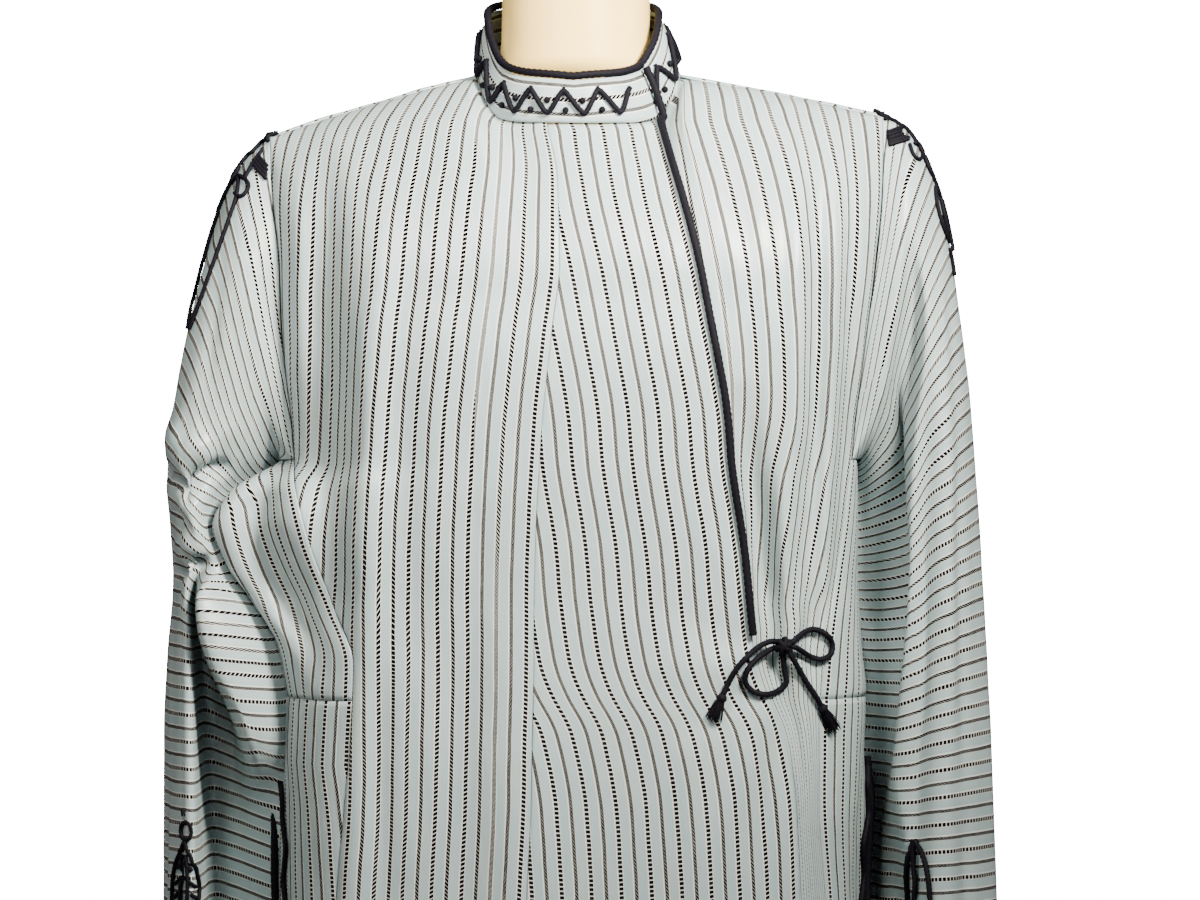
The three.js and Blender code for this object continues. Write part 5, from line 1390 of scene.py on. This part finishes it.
RIGHT_CUFF = [
    [(189, 806), (189.5, 812)],
    [(191, 818), (187, 823), (188, 832), (192, 836), (196, 830), (195, 821), (191, 817)],
    [(190, 838), (186, 848), (181, 860), (178, 876), (177, 896), (177, 930), (177, 980)],
    [(191, 838), (195, 850), (199, 864), (201, 880), (201, 896), (201, 930), (200, 980)],
    [(188, 850), (187, 866), (186, 884), (186, 904)], [(192, 850), (194, 868), (194, 886), (193, 904)],
    [(183, 864), (190, 858), (197, 866)], [(181, 880), (190, 872), (199, 882)], [(180, 894), (184, 888)],
    [(196, 888), (200, 894)],
]
LEFT_CUFF = [
    [(912, 836), (908, 850), (907, 872), (909, 900), (911, 940), (912, 985)],
    [(913, 836), (921, 850), (926, 872), (928, 900), (930, 940), (931, 985)],
    [(912, 838), (912, 860), (914, 880), (914, 900)],
]
print(len(RIGHT_HEAD + LEFT_HEAD + RIGHT_CUFF + LEFT_CUFF), "runs of cord drawn")

# %% Laying the ornaments
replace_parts(couched("sleeve_head_ornament_right", RIGHT_HEAD, 3.4), "sleeve_head_cord_right")
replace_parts(couched("sleeve_head_ornament_left", LEFT_HEAD, 3.2), "sleeve_head_cord_left")
for side, runs, cord in (("right", RIGHT_CUFF, 3.2), ("left", LEFT_CUFF, 4.4)):
    cuff = couched("cuff_ornament_" + side, runs, cord, on=[trees["cloth_sleeve_" + side]])
    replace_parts(cuff, "cuff_cord_" + side)
print("ornaments laid")

# %% [markdown]
# Satin shines along its threads. The stripes are woven in: bold dotted dark lines and thin twisted ones in
# turn, each beside a fine white line, on bands of blue-grey and of a warmer grey. One node group draws them
# from the weave's coordinates, for every piece of cloth.
# %% A node group for the woven stripes
def new_group(name, inputs, outputs):
    group = bpy.data.node_groups.new(name, "ShaderNodeTree")
    for title, value in inputs:
        group.interface.new_socket(title, in_out="INPUT", socket_type="NodeSocketFloat").default_value = value
    for title, kind in outputs:
        group.interface.new_socket(title, in_out="OUTPUT", socket_type=kind)
    return group, group.nodes.new("NodeGroupInput"), group.nodes.new("NodeGroupOutput")


class Wiring:
    """Short hands for adding nodes to one tree."""

    def __init__(self, tree):
        self.tree = tree

    def feed(self, socket, value):
        if isinstance(value, (int, float, tuple)):
            socket.default_value = value
        else:
            self.tree.links.new(value, socket)

    def math(self, kind, a, b=0.0, c=0.0):
        node = self.tree.nodes.new("ShaderNodeMath")
        node.operation = kind
        for socket, value in zip(node.inputs, (a, b, c)):
            self.feed(socket, value)
        return node.outputs[0]

    def blend(self, amount, a, b, kind="MIX"):
        node = self.tree.nodes.new("ShaderNodeMix")
        node.data_type, node.blend_type = "RGBA", kind
        self.feed(node.inputs["Factor"], amount)
        self.feed(node.inputs[6], a)
        self.feed(node.inputs[7], b)
        return node.outputs[2]

    def noise(self, vector, scale, detail=2.0, rough=0.5):
        node = self.tree.nodes.new("ShaderNodeTexNoise")
        self.feed(node.inputs["Vector"], vector)
        for title, number in (("Scale", scale), ("Detail", detail), ("Roughness", rough)):
            node.inputs[title].default_value = number
        return node.outputs["Fac"]

    def bump(self, height, strength, distance, under=None):
        node = self.tree.nodes.new("ShaderNodeBump")
        node.inputs["Strength"].default_value = strength
        node.inputs["Distance"].default_value = distance
        self.feed(node.inputs["Height"], height)
        if under is not None:
            self.feed(node.inputs["Normal"], under)
        return node.outputs[0]

    def band(self, value, middle, half, soft):
        """1 inside a band round a middle, falling to 0 over a soft edge."""
        away = self.math("ABSOLUTE", self.math("SUBTRACT", value, middle))
        node = self.tree.nodes.new("ShaderNodeMapRange")
        node.interpolation_type = "SMOOTHSTEP"
        for title, number in zip(("From Min", "From Max", "To Min", "To Max"), (half, half + soft, 1.0, 0.0)):
            node.inputs[title].default_value = number
        self.feed(node.inputs["Value"], away)
        return node.outputs["Result"]

    def combine(self, x, y, z=0.0):
        node = self.tree.nodes.new("ShaderNodeCombineXYZ")
        for socket, value in zip(node.inputs, (x, y, z)):
            self.feed(socket, value)
        return node.outputs[0]


# %% Drawing the stripes
# colours, linear
BLUE_GROUND, WARM_GROUND, FIBRE_LIGHT = (0.23, 0.36, 0.40, 1), (0.35, 0.41, 0.42, 1), (0.52, 0.58, 0.58, 1)
WHITE_LINE, DARK_LINE = (0.66, 0.67, 0.64, 1), (0.002, 0.002, 0.004, 1)
# metres: the pair of stripes, one dot of the bold line, one stroke of the thin line, how far the lines wander
PAIR, DOT, STROKE, WANDER = 0.0202, 0.0031, 0.0027, 0.0012
BOLD_AT, THIN_AT, EDGE_SOFT, WHITE_SOFT = 0.25, 0.75, 0.010, 0.012

stripes, stripes_in, stripes_out = new_group(
    "woven_stripes", [("Across", 0.0), ("Along", 0.0), ("Repeat", PAIR)],
    [("Color", "NodeSocketColor"), ("Lines", "NodeSocketFloat"), ("Height", "NodeSocketFloat")])
w = Wiring(stripes)
across, along, repeat = (stripes_in.outputs[k] for k in range(3))
wander = w.math("MULTIPLY", w.math("SUBTRACT", w.noise(w.combine(across, along), 25.0), 0.5), WANDER)
place = w.math("FRACT", w.math("DIVIDE", w.math("ADD", across, wander), repeat))

dots = w.band(w.math("FRACT", w.math("DIVIDE", along, DOT)), 0.5, 0.35, 0.06)
bold = w.math("MULTIPLY", w.band(place, BOLD_AT, 0.068, EDGE_SOFT), w.math("MULTIPLY_ADD", dots, 0.85, 0.15))
slant = w.math("FRACT", w.math("ADD", w.math("DIVIDE", along, STROKE), w.math("MULTIPLY", place, 11.0)))
strokes = w.band(slant, 0.5, 0.40, 0.06)
twisted = w.math("MULTIPLY_ADD", strokes, 0.75, 0.25)
thin = w.math("MULTIPLY", w.band(place, THIN_AT, 0.060, EDGE_SOFT), twisted)
dark = w.math("MAXIMUM", bold, thin)
beside_bold, beside_thin = w.band(place, 0.26, 0.096, WHITE_SOFT), w.band(place, 0.764, 0.086, WHITE_SOFT)
white = w.math("MAXIMUM", beside_bold, beside_thin)

tint = w.noise(w.combine(w.math("MULTIPLY", across, 1.6), w.math("MULTIPLY", along, 0.25)), 46.0, 2.0)
fibre_at = w.combine(w.math("MULTIPLY", across, 2600.0), w.math("MULTIPLY", along, 160.0))
fibre = w.noise(fibre_at, 1.0, 3.0, 0.6)
ground = w.blend(tint, BLUE_GROUND, WARM_GROUND)
ground = w.blend(w.math("MULTIPLY", w.math("SUBTRACT", fibre, 0.3), 0.3), ground, FIBRE_LIGHT)
ground = w.blend(w.math("MULTIPLY", white, 0.9), ground, WHITE_LINE)
w.feed(stripes_out.inputs["Color"], w.blend(dark, ground, DARK_LINE))
w.feed(stripes_out.inputs["Lines"], dark)
w.feed(stripes_out.inputs["Height"], w.math("MULTIPLY_ADD", white, 0.5, w.math("MULTIPLY", fibre, 0.35)))
print("woven stripes group has", len(stripes.nodes), "nodes")


# %% Cloth materials
def bare_material(name):
    """A material with only its shader, and short hands for the rest."""
    material = bpy.data.materials.new(name)
    material.use_nodes = True
    tree = material.node_tree
    for node in list(tree.nodes):
        tree.nodes.remove(node)
    out, shader = tree.nodes.new("ShaderNodeOutputMaterial"), tree.nodes.new("ShaderNodeBsdfPrincipled")
    tree.links.new(shader.outputs[0], out.inputs[0])
    return material, Wiring(tree), shader.inputs


def object_place(w):
    return w.tree.nodes.new("ShaderNodeTexCoord").outputs["Object"]


def satin_material(name, repeat):
    """The stripes from the cloth's own map, shinier between the lines than on them."""
    material, w, shader = bare_material(name)
    split = w.tree.nodes.new("ShaderNodeSeparateXYZ")
    w.feed(split.inputs[0], w.tree.nodes.new("ShaderNodeUVMap").outputs[0])
    group = w.tree.nodes.new("ShaderNodeGroup")
    group.node_tree = stripes
    for title, value in (("Across", split.outputs[0]), ("Along", split.outputs[1]), ("Repeat", repeat)):
        w.feed(group.inputs[title], value)
    lines = group.outputs["Lines"]
    slow_at = w.combine(w.math("MULTIPLY", split.outputs[0], 1.0), w.math("MULTIPLY", split.outputs[1], 0.35))
    slow = w.noise(slow_at, 38.0, 3.0)
    rough = w.math("MULTIPLY_ADD", lines, 0.3, w.math("MULTIPLY_ADD", slow, 0.12, 0.29))
    threads = w.bump(group.outputs["Height"], 0.5, 0.0003)
    w.feed(shader["Base Color"], group.outputs["Color"])
    w.feed(shader["Roughness"], rough)
    w.feed(shader["Normal"], w.bump(slow, 0.5, 0.0025, threads))
    w.feed(shader["Specular IOR Level"], w.math("MULTIPLY_ADD", lines, -0.38, 0.4))
    shader["Anisotropic"].default_value = 0.35
    return material


# metres: the pair of stripes on each part of the coat
body_satin = satin_material("body_satin", 0.0211)
sleeve_satin = satin_material("sleeve_satin", 0.0194)
collar_satin = satin_material("collar_satin", 0.0211)


def dress(piece, material):
    piece.data.materials.clear()
    piece.data.materials.append(material)


for name, piece in cloth.items():
    dress(piece, sleeve_satin if "sleeve" in name else collar_satin if "collar" in name else body_satin)
print(len(cloth), "pieces of cloth dressed in satin")

# %% Cord, form and metal
cord_black, w, shader = bare_material("cord_black")
fluff = w.noise(object_place(w), 900.0, 3.0, 0.6)
w.feed(shader["Base Color"], w.blend(fluff, (0.001, 0.001, 0.002, 1), (0.005, 0.004, 0.009, 1)))
w.feed(shader["Roughness"], w.math("MULTIPLY_ADD", fluff, 0.25, 0.55))
w.feed(shader["Normal"], w.bump(fluff, 0.6, 0.0004))
shader["Specular IOR Level"].default_value = 0.10

form_cream, w, shader = bare_material("form_cream")
coords = object_place(w)
cloudy = w.noise(coords, 7.0, 3.0)
w.feed(shader["Base Color"], w.blend(cloudy, (0.97, 0.67, 0.20, 1), (0.98, 0.71, 0.25, 1)))
w.feed(shader["Roughness"], w.math("MULTIPLY_ADD", cloudy, 0.12, 0.30))
w.feed(shader["Normal"], w.bump(w.noise(coords, 260.0, 2.0), 0.15, 0.0003))
shader["Coat Weight"].default_value = 0.25
shader["Coat Roughness"].default_value = 0.25

stand_metal, w, shader = bare_material("stand_metal")
stretch = w.tree.nodes.new("ShaderNodeMapping")
stretch.inputs["Scale"].default_value = (60, 60, 900)
w.feed(stretch.inputs["Vector"], object_place(w))
brush = w.noise(stretch.outputs[0], 1.0, 2.0)
w.feed(shader["Base Color"], w.blend(brush, (0.52, 0.53, 0.55, 1), (0.68, 0.69, 0.70, 1)))
w.feed(shader["Roughness"], w.math("MULTIPLY_ADD", brush, 0.16, 0.24))
shader["Metallic"].default_value = 1.0

for piece in bpy.context.scene.objects:
    if piece.type == "MESH" and piece.name not in cloth and not piece.data.materials:
        dress(piece, cord_black)
dress(form, form_cream)
for piece in (neck_cap, pole, base):
    dress(piece, stand_metal)
print("materials made:", len(bpy.data.materials))

# %% [markdown]
# The photograph is taken against white. A narrow soft light from the viewer's right and a weaker one from
# the left reach the chest and shoulders, so the coat darkens downwards as there; a wide warm light fills
# the left side. The camera sees a bright white surround, which gives the coat only a little cool light.
# %% Floor and light
bpy.ops.object.select_all(action="DESELECT")
bpy.ops.mesh.primitive_plane_add(size=14, location=(0, 0, 0))
floor = bpy.context.object
floor.name = "floor"
floor_paint, w, shader = bare_material("floor_paint")
speck = w.noise(object_place(w), 3.0, 4.0)
w.feed(shader["Base Color"], w.blend(speck, (0.80, 0.80, 0.79, 1), (0.85, 0.85, 0.84, 1)))
shader["Roughness"].default_value = 0.7
dress(floor, floor_paint)

SURROUND_LIGHT, SURROUND_SEEN = 0.12, 26.0
world = bpy.data.worlds.new("white_surround")
bpy.context.scene.world = world
world.use_nodes = True
background = world.node_tree.nodes["Background"]
background.inputs["Color"].default_value = (0.95, 0.98, 1, 1)
w = Wiring(world.node_tree)
strength = w.tree.nodes.new("ShaderNodeMapRange")
for title, value in (("To Min", SURROUND_LIGHT), ("To Max", SURROUND_SEEN),
                     ("Value", w.tree.nodes.new("ShaderNodeLightPath").outputs["Is Camera Ray"])):
    w.feed(strength.inputs[title], value)
w.feed(background.inputs["Strength"], strength.outputs[0])


def soft_light(name, place, target, size, power, color, spread=180):
    data = bpy.data.lights.new(name, "AREA")
    data.spread = math.radians(spread)
    data.shape, data.size, data.energy, data.color = "SQUARE", size, power, color
    light = bpy.data.objects.new(name, data)
    light.location = place
    light.rotation_euler = (Vector(target) - Vector(place)).to_track_quat("-Z", "Y").to_euler()
    bpy.context.collection.objects.link(light)


# place and target in metres, size, watts, colour and, for a narrow light, its spread in degrees
soft_light("key", (0.68, -1.08, 1.95), (0.02, -0.1, 1.36), 0.35, 12.5, (1.0, 0.93, 0.81), 54)
soft_light("front", (-0.45, -1.2, 1.9), (-0.06, -0.1, 1.36), 0.4, 2.4, (1.0, 0.93, 0.82), 50)
soft_light("fill", (-2.8, -1.5, 1.3), (0, 0, 1.1), 1.2, 16, (1.0, 0.86, 0.72))
soft_light("above", (0.3, -0.2, 3.2), (0, 0, 1.3), 1.2, 12, (1, 0.97, 0.92))
print("lights set")
